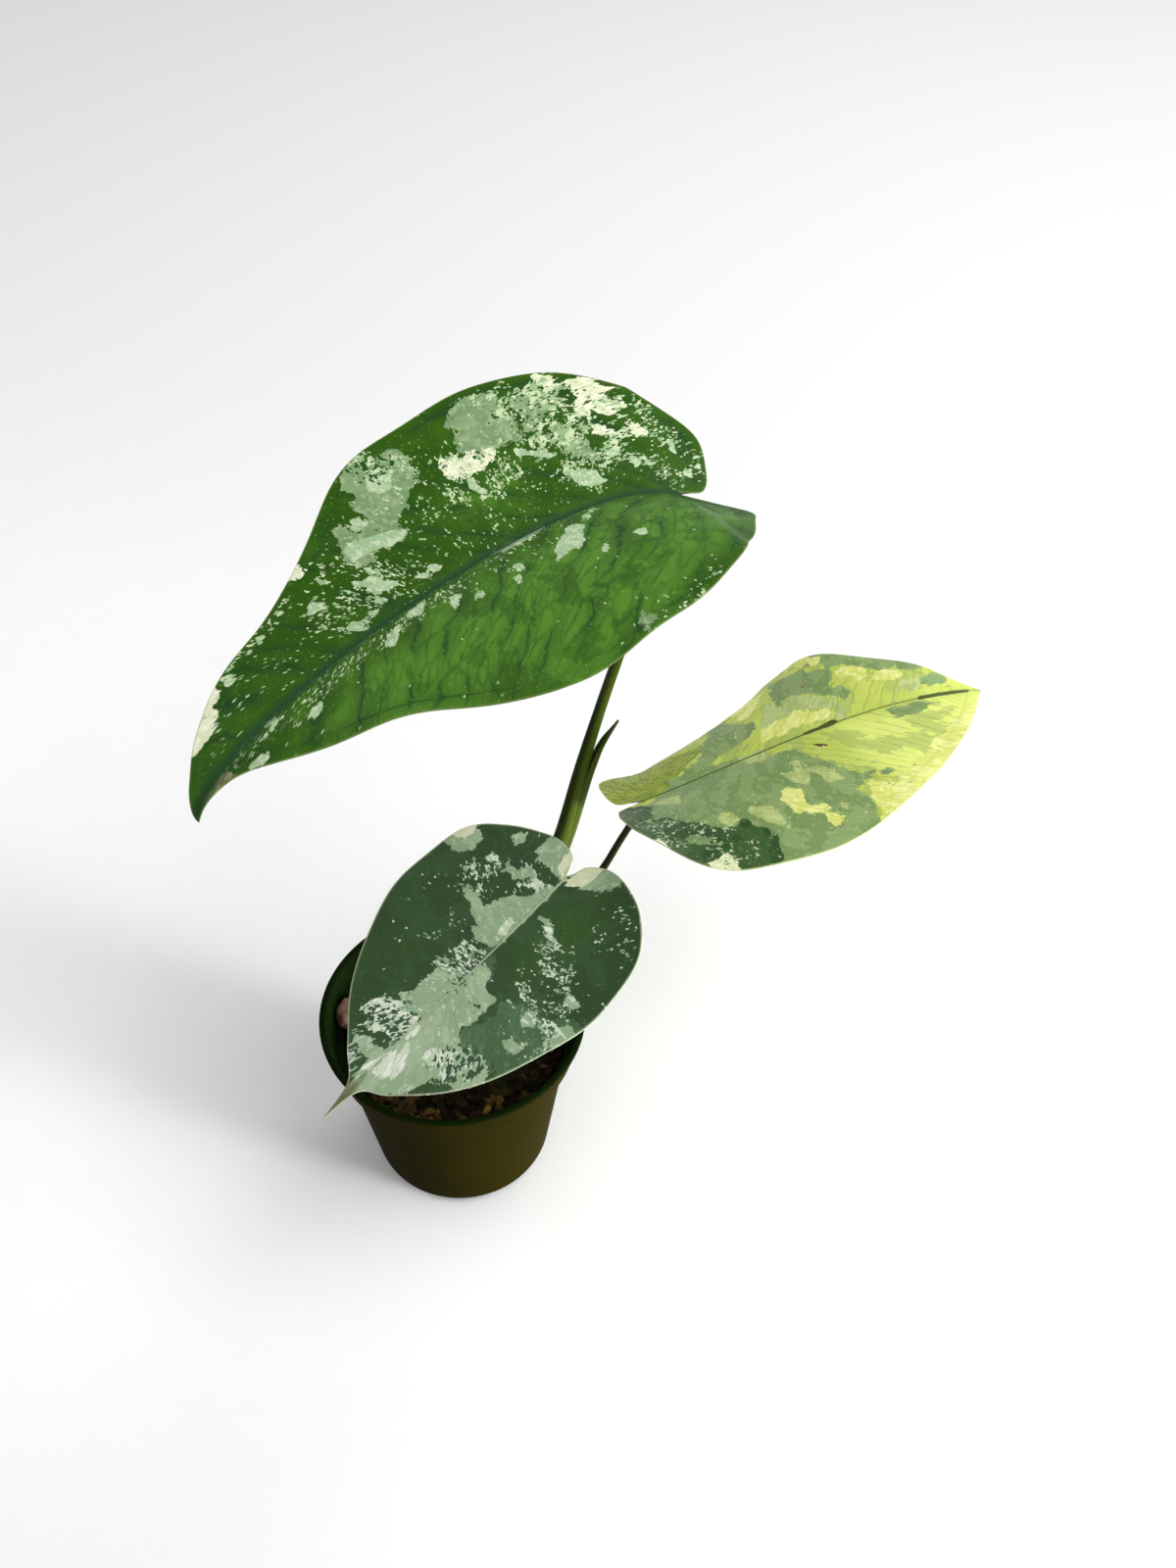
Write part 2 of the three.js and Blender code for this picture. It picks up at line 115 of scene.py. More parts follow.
leafUpper = {
    "midrib": [(81, 52, 301), (44, 46, 316), (-71, -38, 273), (-65, -53, 258)],
    "roll": (22, -10), "fold": (9, -8), "sag": 0.01,
    "lift": {1: 13, -1: -2},
    "curl": {1: (0.2, 0.01), -1: (-0.17, -0.19)},
    "outline": {
        1: [(-13, 7), (-18, 22), (-18, 42), (-5, 62), (15, 84),
            (46, 83), (84, 73), (118, 44), (163, 24), (182, 8)],
        -1: [(-10, 6), (-18, 22), (-13, 38), (-3, 59), (16, 80),
             (46, 85), (86, 77), (121, 46), (156, 23), (174, 7)],
    },
    "veins": {"spacing": 13.5, "slope": 0.5, "bend": 0.006},
}
leafRight = {
    "midrib": [(76, 39, 167), (122, 51, 181), (158, 51, 211), (205, 84, 180)],
    "roll": (-33, 37), "fold": (9, -3), "sag": 0.04,
    "lift": {1: 9, -1: 12},
    "curl": {1: (-0.2, -0.09), -1: (-0.52, -0.04)},
    "outline": {
        1: [(-11, 6), (-12, 18), (-11, 34), (-6, 56), (10, 77),
            (35, 82), (66, 68), (95, 41), (119, 20), (136, 6)],
        -1: [(-12, 6), (-16, 20), (-16, 38), (-6, 56), (9, 79),
             (35, 81), (67, 69), (96, 42), (120, 20), (134, 6)],
    },
    "veins": {"spacing": 5.5, "slope": 0.75, "bend": 0.008},
}
leafFront = {
    "midrib": [(44, 0, 166), (12, -30, 150), (-19, -57, 140), (-40, -71, 121)],
    "roll": (16, -21), "fold": (2, 3), "sag": -0.02,
    "lift": {1: -5, -1: -1},
    "curl": {1: (0.06, 0.02), -1: (-0.04, -0.03)},
    "outline": {
        1: [(-9, 4), (-12, 14), (-11, 25), (-5, 40), (8, 53),
            (29, 54), (54, 47), (80, 30), (96, 13.5), (104.5, 2.8)],
        -1: [(-9, 4), (-13, 14), (-12, 26), (-6, 40), (8, 53),
             (29, 54), (54, 46), (80, 30), (96, 13.5), (104, 2.8)],
    },
    "veins": {"spacing": 11, "slope": 0.5, "bend": 0.008},
}


def cubicPoints(corners, count=800):
    t = np.linspace(0, 1, count)[:, None]
    a, b, c, d = (np.array(corner, float) for corner in corners)
    points = (1 - t) ** 3 * a + 3 * t * (1 - t) ** 2 * b + 3 * t * t * (1 - t) * c + t ** 3 * d
    steps = np.linalg.norm(np.diff(points, axis=0), axis=1)
    return points, np.concatenate([[0], np.cumsum(steps)])


def smoothOutline(places, share):
    # an even, smooth curve through the outline's places
    places = np.array(places, float)
    last = len(places) - 1
    at = share * last
    index = np.minimum(np.floor(at).astype(int), last - 1)
    w = (at - index)[:, None]
    before = places[np.maximum(index - 1, 0)]
    start = places[index]
    end = places[np.minimum(index + 1, last)]
    after = places[np.minimum(index + 2, last)]
    v0 = (end - before) / 2
    v1 = (after - start) / 2
    return ((2 * start - 2 * end + v0 + v1) * w ** 3
            + (-3 * start + 3 * end - 2 * v0 - v1) * w ** 2 + v0 * w + start)


def halfOutline(leaf, sign, length):
    # one half of the blade from the petiole round to the tip, out from the midrib
    back, padOut = blade["pad"]
    return [(back - blade["padStep"], padOut), *leaf["outline"][sign], (length, 0)]


def bladeSurface(leaf, along, out):
    # points of the middle surface and its upward facing, for places along and out (signed)
    curve, reach = cubicPoints(leaf["midrib"])
    length = reach[-1]
    inside = np.clip(along, 0, length)

    def onCurve(distance):
        return np.stack([np.interp(distance, reach, curve[:, k]) for k in range(3)], -1)

    point = onCurve(inside)
    forward = onCurve(np.clip(inside + 0.5, 0, length)) - onCurve(np.clip(inside - 0.5, 0, length))
    forward /= np.linalg.norm(forward, axis=-1, keepdims=True)
    level = np.array([0, 0, 1.0]) - forward * forward[..., 2:3]
    level /= np.linalg.norm(level, axis=-1, keepdims=True)
    across = np.cross(forward, level)
    share = (along / length)[..., None]
    roll = np.radians(leaf["roll"][0] + leaf["roll"][1] * share)
    up = level * np.cos(roll) + across * np.sin(roll)
    side = across * np.cos(roll) - level * np.sin(roll)
    behind = np.minimum(along, 0)[..., None]
    sag = math.radians(leaf["sag"])
    point = point + forward * np.sin(sag * behind) / sag + up * (1 - np.cos(sag * behind)) / sag
    sign = np.where(out >= 0, 1.0, -1.0)[..., None]
    lift = np.where(sign > 0, leaf["lift"][1], leaf["lift"][-1]) * -blade["liftRate"] * behind / length
    start = np.radians(leaf["fold"][0] + leaf["fold"][1] * share + lift)
    curl = np.radians(np.where(sign > 0, leaf["curl"][1][0], leaf["curl"][-1][0])
                      + np.where(sign > 0, leaf["curl"][1][1], leaf["curl"][-1][1]) * share)
    end = start + curl * np.abs(out)[..., None]
    point = point + side * sign * (np.sin(end) - np.sin(start)) / curl
    point = point + up * (np.cos(start) - np.cos(end)) / curl
    facing = up * np.cos(end) - side * sign * np.sin(end)
    return point, np.where(np.abs(out)[..., None] < 0.01, up, facing)


def flatGrid(leaf):
    # places of the grid's corners on the flat blade: rows are veins, columns run to the margins
    rows, columns = blade["rows"], blade["columns"]
    length = cubicPoints(leaf["midrib"])[1][-1]
    share = np.linspace(0, 1, rows + 1)
    back = blade["pad"][0]
    ribColumns = np.array(blade["ribColumns"])[None, :]
    count = ribColumns.shape[1]
    halves = {}
    for sign in (1, -1):
        start = np.stack([back + (length - back) * share ** blade["veinSpread"], 0 * share], -1)
        end = smoothOutline(halfOutline(leaf, sign, length), share)
        bowAlong, bowOut = blade["veinBow"]
        bend = np.stack([start[:, 0] + bowAlong * (end[:, 0] - start[:, 0]), bowOut * end[:, 1]], -1)
        reach = np.linalg.norm(bend - start, axis=1) + np.linalg.norm(end - bend, axis=1)
        reach = 0.5 * reach + 0.5 * np.linalg.norm(end - start, axis=1) + 1e-6
        steps = np.linspace(0, 1, columns + 1)[None, :].repeat(rows + 1, 0)
        steps[:, :count] = np.minimum(ribColumns / reach[:, None], steps[:, :count])
        first = steps[:, count - 1:count]
        steps[:, count - 1:] = first + (1 - first) * np.linspace(0, 1, columns - count + 2)[None, :]
        t = steps[..., None]
        vein = ((1 - t) ** 2 * start[:, None] + 2 * t * (1 - t) * bend[:, None]
                + t * t * end[:, None])
        halves[sign] = (vein[..., 0], sign * np.maximum(vein[..., 1], 0), steps * reach[:, None])
    along, out, distance = (
        np.concatenate([m[:, :0:-1], p], axis=1) for m, p in zip(halves[-1], halves[1]))
    smooth = np.linspace(0, 1, blade["rimSteps"])
    border = [smoothOutline([(u, sign * v) for u, v in halfOutline(leaf, sign, length)], smooth)
              for sign in (1, -1)]
    rim = np.maximum(polygonDistance(along, out, [*border[0], *border[1][::-1]]), 0)
    across, lateral = veinField(leaf["veins"], along, out, rim)
    wide = columns + int(columns * blade["grainShare"])     # the column whose length sets the grain's scale
    middle = np.stack([along[:, wide], out[:, wide]], -1)
    travelled = np.concatenate([[0], np.cumsum(np.linalg.norm(np.diff(middle, axis=0), axis=1))])
    return {
        "along": along, "out": out, "distance": distance, "rim": rim, "across": across, "lateral": lateral,
        "share": share[:, None].repeat(2 * columns + 1, 1),
        "travelled": travelled[:, None].repeat(2 * columns + 1, 1),
    }


def veinField(veins, along, out, rim):
    # veins leave the midrib forwards and bend to the tip, and fan out of the base into the lobes;
    # gives the place across them and the distance to the nearest one
    reach = np.abs(out)
    ahead = along - veins["slope"] * reach - veins["bend"] * reach ** 2
    turn = np.arctan2(along, reach + 1e-6) - np.arctan(veins["slope"] + veins["bend"] * reach)
    across = np.where(ahead > 0, ahead, turn * blade["fanWidth"])
    (slow, length), (wide, wideOut, wideAlong), (narrow, narrowAlong, narrowOut) = blade["waver"]
    right, left, shift = blade["waverShift"]
    across = across + slow * np.sin(across / length + np.where(out > 0, right, left))
    across = across + np.where(out > 0, 0, shift)
    across = across + wide * np.sin(out / wideOut + along / wideAlong)
    across = across + narrow * np.sin(along / narrowAlong - out / narrowOut)
    off = np.abs(across / veins["spacing"] - np.round(across / veins["spacing"])) * veins["spacing"]
    lateral = off * np.where(ahead > 0, blade["veinShare"], np.hypot(along, reach) / blade["fanWidth"])
    edge = np.abs(rim - blade["edgeVein"]) + 0.25
    return across, np.where(rim < blade["edgeVein"], edge, np.minimum(lateral, edge))


def polygonDistance(along, out, corners):
    # distance in millimetres to a patch's edge: positive inside it, negative outside
    px, py = along.ravel(), out.ravel()
    best = np.full(px.shape, 1e9)
    inside = np.zeros(px.shape, bool)
    for (ax, ay), (bx, by) in zip(corners, [*corners[1:], corners[0]]):
        ex, ey = bx - ax, by - ay
        t = np.clip(((px - ax) * ex + (py - ay) * ey) / (ex * ex + ey * ey + 1e-9), 0, 1)
        best = np.minimum(best, np.hypot(px - ax - t * ex, py - ay - t * ey))
        if ay != by:
            inside ^= ((ay > py) != (by > py)) & (px < (bx - ax) * (py - ay) / (by - ay) + ax)
    return np.where(inside, best, -best).reshape(along.shape)


def patchField(grid, patches):
    field = np.full(grid["along"].shape, -60.0)
    for corners in patches:
        field = np.maximum(field, polygonDistance(grid["along"], grid["out"], corners))
    return field


def densityField(grid, zones, base):
    # each zone gives a density, the width of its soft edge and its corners
    field = np.full(grid["along"].shape, float(base))
    for density, soft, corners in zones:
        reach = polygonDistance(grid["along"], grid["out"], corners)
        field = np.maximum(field, density * np.clip(0.5 + reach / soft, 0, 1))
    return field


def bladeFaces(leaf, grid):
    # corners of the upper and the lower face: pillows between the veins, a rippled margin,
    # a groove along the midrib and its keel below
    point, facing = bladeSurface(leaf, grid["along"], grid["out"])
    sideVein, pillow, wave = blade["sideVein"], blade["pillow"], blade["wave"]
    groove, keel, calmed = blade["groove"], blade["keel"], blade["calm"]
    rib = np.abs(grid["out"])
    toTip = 1 - grid["share"]
    edge = np.clip(grid["rim"] / calmed["rim"], 0, 1)
    edge = edge * edge * (3 - 2 * edge)
    calm = edge * np.clip(rib / calmed["rib"], 0, 1) * np.clip(toTip / calmed["tip"], 0, 1)
    vein = np.exp(-(grid["lateral"] / sideVein["width"]) ** 2)
    raised = 1 - np.exp(-(grid["lateral"] / pillow["width"]) ** 2)
    swell = (pillow["height"] * (raised - pillow["level"]) - sideVein["depth"] * vein) * calm
    ripple = np.sin(grid["along"] * 2 * math.pi / wave["length"] + np.sign(grid["out"]))
    fringe = np.clip(1 - grid["rim"] / wave["band"], 0, 1) ** 2 * np.clip(rib / wave["fromRib"], 0, 1)
    swell = swell + wave["height"] * ripple * fringe
    sunk = groove["depth"] * np.exp(-(rib / groove["width"]) ** 2) * toTip * edge
    ridge = (keel["depth"] * toTip + keel["least"]) * np.exp(-(rib / keel["width"]) ** 4)
    ridge = ridge + sideVein["ridge"] * vein * calm
    top = point + facing * (blade["thickness"] / 2 + swell - sunk)[..., None]
    below = point - facing * (blade["thickness"] / 2 - swell + ridge)[..., None]
    return top, below, facing


def makeLeaf(name, node, leaf, material):
    grid = flatGrid(leaf)
    rows, columns = blade["rows"], blade["columns"]
    top, below, facing = bladeFaces(leaf, grid)

    bm = bmesh.new()
    rowOf = bm.verts.layers.int.new("row")
    columnOf = bm.verts.layers.int.new("column")
    underOf = bm.verts.layers.float.new("under")
    bmesh.ops.create_grid(bm, x_segments=2 * columns, y_segments=rows, size=1)
    for vert in bm.verts:
        vert[columnOf] = round((vert.co.x + 1) * columns)
        vert[rowOf] = round((vert.co.y + 1) * rows / 2)
        vert.co = top[vert[rowOf], vert[columnOf]]
    bmesh.ops.remove_doubles(bm, verts=bm.verts, dist=0.002)
    copied = bmesh.ops.duplicate(bm, geom=bm.verts[:] + bm.edges[:] + bm.faces[:])["geom"]
    for vert in (item for item in copied if isinstance(item, bmesh.types.BMVert)):
        vert.co = below[vert[rowOf], vert[columnOf]]
        vert[underOf] = 1
    upper = [face for face in bm.faces if face.verts[0][underOf] < 0.5]
    lower = [face for face in bm.faces if face.verts[0][underOf] > 0.5]
    middle = min(upper, key=lambda face: abs(face.verts[0][rowOf] - rows // 3))
    middle.normal_update()
    upward = Vector(facing[rows // 3, middle.verts[0][columnOf]])
    bmesh.ops.reverse_faces(bm, faces=lower if middle.normal.dot(upward) > 0 else upper)
    rims = [edge for edge in bm.edges if edge.is_boundary]
    for edge in rims:
        edge.smooth = False
    bmesh.ops.bridge_loops(bm, edges=rims)
    mesh = meshPiece(name, bm, material, node).data

    # attributes and UV maps that the leaf's material reads, all in millimetres
    size = len(mesh.vertices)
    at = []
    for key in ("row", "column"):
        index = np.zeros(size, int)
        mesh.attributes[key].data.foreach_get("value", index)
        mesh.attributes.remove(mesh.attributes[key])
        at.append(index)
    at = tuple(at)
    fields = {"rib": grid["out"], "rim": grid["rim"], "lateral": grid["lateral"], "share": grid["share"]}
    fields.update({key: patchField(grid, value) for key, value in leaf["patches"].items()})
    fields.update({
        key: densityField(grid, zones, base) for key, (base, zones) in leaf["zones"].items()
    })
    for key, field in fields.items():
        attribute = mesh.attributes.new(key, "FLOAT", "POINT")
        attribute.data.foreach_set("value", field[at].astype(np.float32))
    corners = np.zeros(len(mesh.loops), int)
    mesh.loops.foreach_get("vertex_index", corners)
    sides = np.where(grid["out"] < 0, blade["halfShift"] * leaf["veins"]["spacing"], 0)
    maps = {"flat": (grid["along"], grid["out"]), "vein": (grid["across"] + sides, grid["distance"]),
            "grain": (grid["travelled"] + sides, grid["distance"])}
    for key, (first, second) in maps.items():
        layer = mesh.uv_layers.new(name=key)
        values = np.stack([first[at][corners], second[at][corners]], -1)
        layer.data.foreach_set("uv", values.astype(np.float32).ravel())
    print("leaf made:", name, size, "corners")


# Leaf tissue: a waxy, satin blade whose green is broken up by pale sectors, splashes and specks.
# Light passes through it, so a share of the shader is translucent. Sizes are in millimetres.

tissue = {
    # jagged cells that make the markings angular: width, depth, shift
    "cells": {"fine": (0.65, 0.95, 0.0), "coarse": (1.3, 1.9, 3.7), "grit": (0.4, 0.4, 1.9)},
    # soft clouds, or hard-edged ones in the cells: place, width, depth, detail, roughness, shift
    "clouds": {
        "ground": ("flat", 22, 22, 4.0, 0.6, 0.0),
        "tone": ("coarse", 17, 24, 5.0, 0.55, 2.1),
        "netPatch": ("flat", 12, 12, 3.0, 0.6, 8.2),
        "wander": ("flat", 13, 13, 3.0, 0.6, 4.1),
        "veinFade": ("flat", 19, 19, 2.0, 0.5, 5.5),
        "broken": ("flat", 15, 15, 2.0, 0.5, 3.3),
        "ragged": ("fine", 4.2, 5.6, 4.0, 0.7, 0.0),
        "chunky": ("coarse", 8, 10, 3.0, 0.5, 4.4),
        "flecks": ("fine", 2.8, 4.2, 4.0, 0.65, 9.1),
        "mottle": ("coarse", 11, 16, 3.0, 0.5, 6.6),
        "clumps": ("grain", 9, 15, 3.0, 0.6, 1.3),
        "specks": ("fine", 2.1, 3.4, 6.0, 0.88, 5.3),
        "palest": ("fine", 3.2, 5.2, 2.0, 0.5, 7.7),
        "dust": ("grit", 1.1, 1.1, 2.0, 0.9, 6.1),
        "islands": ("fine", 1.9, 2.7, 5.0, 0.75, 2.9),
        "skin": ("flat", 0.9, 0.9, 2.0, 0.6, 0.0),
        "polish": ("flat", 14, 14, 3.0, 0.6, 0.0),
    },
    # clouds cut between two limits, and their values there where these aren't 0 and 1
    "cuts": {
        "tone": (0.53, 0.545), "netPatch": (0.35, 0.65, 0.6), "veinFade": (0.3, 0.6, 0.3),
        "broken": (0.38, 0.6, 0.25, 1.5), "mottle": (0.5, 0.52), "palest": (0.47, 0.53), "dust": (0.7, 0.72),
    },
    # markings: how high their cloud must be where they are rare and where they are dense, and their edge
    "marks": {"specks": (0.69, 0.4, 0.004), "strokes": (0.78, 0.5, 0.006), "islands": (0.73, 0.4, 0.004)},
    "crowd": (0.4, 0.62), "mostCrowded": 1.4, "groundSwing": 0.9,
    "strokeSize": (3.0, 0.6, 1), "strokeCloud": {"Scale": 1.0, "Detail": 4.0, "Roughness": 0.65},
    "net": (4.8, 9.5), "netBend": 0.5, "bendCloud": (7, 7), "netRandom": 0.9,
    "fineNet": (1.5, 2.5), "fineWidth": 0.22,
    "lateralCore": 0.1, "betweenWidth": 0.2, "edgeVein": (0.05, 0.5),
    "fleckLimit": (0.66, 0.16, 0.02), "sectorEdge": (-0.45, -0.25),
    "bandCore": 0.4, "ribTaper": 1.15, "rimCore": 0.15, "tipLength": 0.035, "beneath": 0.45,
    "relief": {"net": -0.6, "fineNet": -0.4, "skin": 0.5}, "bump": {"Strength": 0.35, "Distance": 0.00022},
    "roughness": (0.05, 0.08, 0.18),
}
eased = {"interpolation_type": "SMOOTHSTEP"}
plus, minus, times, larger, absolute, zigzag = (
    {"operation": kind} for kind in ("ADD", "SUBTRACT", "MULTIPLY", "MAXIMUM", "ABSOLUTE", "PINGPONG"))


def leafMaterial(name, look):
    material, add = newMaterial(name)
    place = {key: add("UVMap", uv_map=key) for key in ("flat", "vein", "grain")}
    sectorKeys = [sector[0] for sector in look["sectors"]]
    field = {
        key: add("Attribute", attribute_name=key).outputs["Fac"]
        for key in ("rib", "rim", "lateral", "share", "under", "specks", "paintedGlow", "net", "islands",
                    "strokes", *sectorKeys)
    }

    def scaled(key, wide, deep, shift=0.0):
        return add("Mapping", {
            "Vector": place[key], "Scale": (1 / wide, 1 / deep, 1), "Location": (shift, shift, 0),
        })

    for key, (wide, deep, shift) in tissue["cells"].items():
        cells = add("TexVoronoi", {
            "Vector": scaled("grain", wide, deep, shift), "Scale": 1.0, "Randomness": 1.0,
        }, voronoi_dimensions="2D")
        place[key] = add("VectorMath", (cells.outputs["Position"], (wide, deep, 1)), **times)
    cloud = {
        key: add("TexNoise", {
            "Vector": scaled(where, wide, deep, shift), "Scale": 1.0, "Detail": detail, "Roughness": rough,
        }, noise_dimensions="2D")
        for key, (where, wide, deep, detail, rough, shift) in tissue["clouds"].items()
    }
    cut = {key: add("MapRange", (cloud[key], *ends), **eased) for key, ends in tissue["cuts"].items()}
    swing = {
        key: add("Math", (add("Math", (cloud[key], 0.5), **minus), strength), **times)
        for key, strength in (("ground", tissue["groundSwing"]), ("wander", look["wander"]),
                              ("ragged", look["ragged"]), ("chunky", look["chunky"]))
    }

    # green ground: darker and brighter fields, with broad hard-edged shifts of tone; the paintedGlow field
    # adds a painted glow, brighter green where light shining through the blade is painted in
    bright = add("Math", (field["paintedGlow"], swing["ground"]), **plus)
    colour = add("MixRGB", (add("MapRange", (bright, 0.0, 1.0), **eased), look["green"], look["bright"]))
    layers = [(add("Math", (cut["tone"], look["toneStrength"]), **times), look["tone"])]

    # side veins, and the net of finer veins between them, soft and darker than the green
    warp = add("TexNoise", {"Vector": scaled("flat", *tissue["bendCloud"]), "Scale": 1.0, "Detail": 2.0})
    bent = add("MixRGB", (tissue["netBend"], scaled("vein", *tissue["net"]), warp.outputs["Color"]),
               blend_type="ADD")
    nets = []
    for where, randomness, width in ((bent, tissue["netRandom"], look["netWidth"]),
                                     (scaled("vein", *tissue["fineNet"]), 1.0, tissue["fineWidth"])):
        border = add("TexVoronoi", {"Vector": where, "Scale": 1.0, "Randomness": randomness},
                     feature="DISTANCE_TO_EDGE", voronoi_dimensions="2D")
        nets.append(add("MapRange", (border, 0.0, width, 1.0, 0.0), **eased))
    net, fineNet = nets
    netShown = add("Math", (add("Math", (net, cut["netPatch"]), **times),
                            add("Math", (field["net"], look["netStrength"]), **times)), **times)
    fineShown = add("Math", (fineNet, add("Math", (field["net"], look["fineStrength"]), **times)), **times)
    veinPlace = add("Math", (add("SeparateXYZ", (place["vein"],)), swing["wander"]), **plus)
    veinCount = add("Math", (veinPlace, look["spacing"]), operation="DIVIDE")
    sideVein = add("Math", (add("Math", (veinCount, 0.5), **zigzag), look["spacing"]), **times)
    lateral = add("MapRange", (sideVein, tissue["lateralCore"], look["lateralWidth"], 1.0, 0.0), **eased)
    between = add("Math", (add("Math", (veinCount, 3.0), **times), 0.5), **zigzag)
    between = add("MapRange", (between, 0.0, tissue["betweenWidth"], 1.0, 0.0), **eased)
    lateral = add("Math", (lateral, add("Math", (between, look["between"]), **times)), **larger)
    edgeGap = add("Math", (add("Math", (field["rim"], blade["edgeVein"]), **minus),), **absolute)
    edgeLine = add("MapRange", (edgeGap, *tissue["edgeVein"], 1.0, 0.0), **eased)
    lateral = add("Math", (lateral, edgeLine), **larger)
    halo = add("MapRange", (field["lateral"], 0.0, look["haloWidth"], 1.0, 0.0), **eased)
    veined = add("Math", (add("Math", (lateral, look["lateralStrength"]), **times),
                          add("Math", (halo, look["haloStrength"]), **times)), **plus)
    veined = add("Math", (add("Math", (netShown, fineShown), **larger),
                          add("Math", (veined, cut["veinFade"]), **times)), **larger)
    layers.append((veined, look["veinGreen"]))

    # pale sectors that follow the leaf's own patches, each with paler flecks and its own faint veins; one of
    # the dark green leaf's sectors is a painted sheen
    jitter = add("Math", (add("Math", (swing["ragged"], cut["broken"]), **times), swing["chunky"]), **plus)
    mottled = add("Math", (cut["mottle"], look["mottle"]), **times)
    veins = add("Math", (net, lateral), **larger)
    limit, perShare, fleckEdge = tissue["fleckLimit"]
    inSectors = None
    for key, shade, pale, share, veinShare, jag in look["sectors"]:
        low = limit - perShare * share
        own = add("MixRGB", (add("MapRange", (cloud["flecks"], low, low + fleckEdge), **eased), shade, pale))
        own = add("MixRGB", (mottled, own, pale))
        own = add("MixRGB", (add("Math", (veins, veinShare), **times), own, look["veinGreen"]))
        reach = add("Math", (field[key], add("Math", (jitter, jag), **times)), **plus)
        shown = add("MapRange", (reach, *tissue["sectorEdge"]), **eased)
        layers.append((shown, own))
        inSectors = add("Math", (inSectors, shown), **larger) if inSectors else shown

    # specks drawn out along the side veins, strokes laid nearly along the midrib, and green islands
    clumps = add("MapRange", (cloud["clumps"], *tissue["crowd"], look["clumps"], tissue["mostCrowded"]),
                 **eased)
    strokePlace = add("Mapping", {
        "Vector": place["flat"], "Scale": tissue["strokeSize"], "Rotation": (0, 0, look["strokeTurn"]),
    }, vector_type="TEXTURE")
    cloud["strokes"] = add("TexNoise", {"Vector": strokePlace, **tissue["strokeCloud"]},
                           noise_dimensions="2D")
    field["specks"] = add("Math", (field["specks"], clumps), **times)
    marked = {}
    for key, (rare, dense, soft) in tissue["marks"].items():
        limit = add("MapRange", (field[key], 0.0, 1.0, rare, dense))
        marked[key] = add("MapRange", (add("Math", (cloud[key], limit), **minus), -soft, soft), **eased)
    speckTone = add("MixRGB", (cut["palest"], look["speck"], look["speckPale"]))
    layers += [
        (marked["specks"], speckTone),
        (marked["strokes"], speckTone),
        (add("Math", (cut["dust"], look["dust"]), **times), look["dustTone"]),
        (add("Math", (marked["islands"], inSectors), **times), look["island"]),
    ]

    # midrib line with its band, the margin's thin pale line, the tip and the underside
    absRib = add("Math", (field["rib"],), **absolute)
    band = add("MapRange", (absRib, tissue["bandCore"], look["bandWidth"], 1.0, 0.0), **eased)
    taper = add("Math", (tissue["ribTaper"], field["share"]), **minus)
    ribShare = add("Math", (absRib, add("Math", (taper, look["ribWidth"]), **times)), operation="DIVIDE")
    rimLine = add("MapRange", (field["rim"], tissue["rimCore"], look["rimWidth"], 1.0, 0.0), **eased)
    tip = add("MapRange", (field["share"], look["tipFrom"], look["tipFrom"] + tissue["tipLength"]), **eased)
    beneath = add("MapRange", (field["under"], 0.4, 0.6), **eased)
    layers += [
        (add("Math", (band, look["bandStrength"]), **times), look["band"]),
        (add("MapRange", (ribShare, 0.5, 1.0, 1.0, 0.0), **eased), look["rib"]),
        (add("Math", (rimLine, look["rimStrength"]), **times), look["rim"]),
        (add("Math", (tip, look["tipStrength"]), **times), look["tip"]),
        (add("Math", (beneath, tissue["beneath"]), **times), look["beneath"]),
    ]
    for shown, over in layers:
        colour = add("MixRGB", (shown, colour, over))

    heights = {"net": net, "fineNet": fineNet, "skin": cloud["skin"]}
    low, fine, skinGrain = (
        add("Math", (heights[key], depth), **times) for key, depth in tissue["relief"].items())
    relief = add("Math", (add("Math", (low, fine), **plus), skinGrain), **plus)
    bump = add("Bump", {"Height": relief, **tissue["bump"]})
    smoother, rougher, rougherBelow = tissue["roughness"]
    rough = add("MapRange", (cloud["polish"], 0.3, 0.7, look["roughness"] - smoother,
                             look["roughness"] + rougher), **eased)
    rough = add("Math", (rough, add("Math", (beneath, rougherBelow), **times)), **plus)
    skin = add("BsdfPrincipled", {
        "Base Color": colour, "Roughness": rough, "Normal": bump, "IOR": 1.45,
        "Specular IOR Level": look["gloss"],
    })
    through = add("BsdfTranslucent", {"Color": colour, "Normal": bump})
    add("OutputMaterial", {"Surface": add("MixShader", (look["through"], skin, through))})
    return material


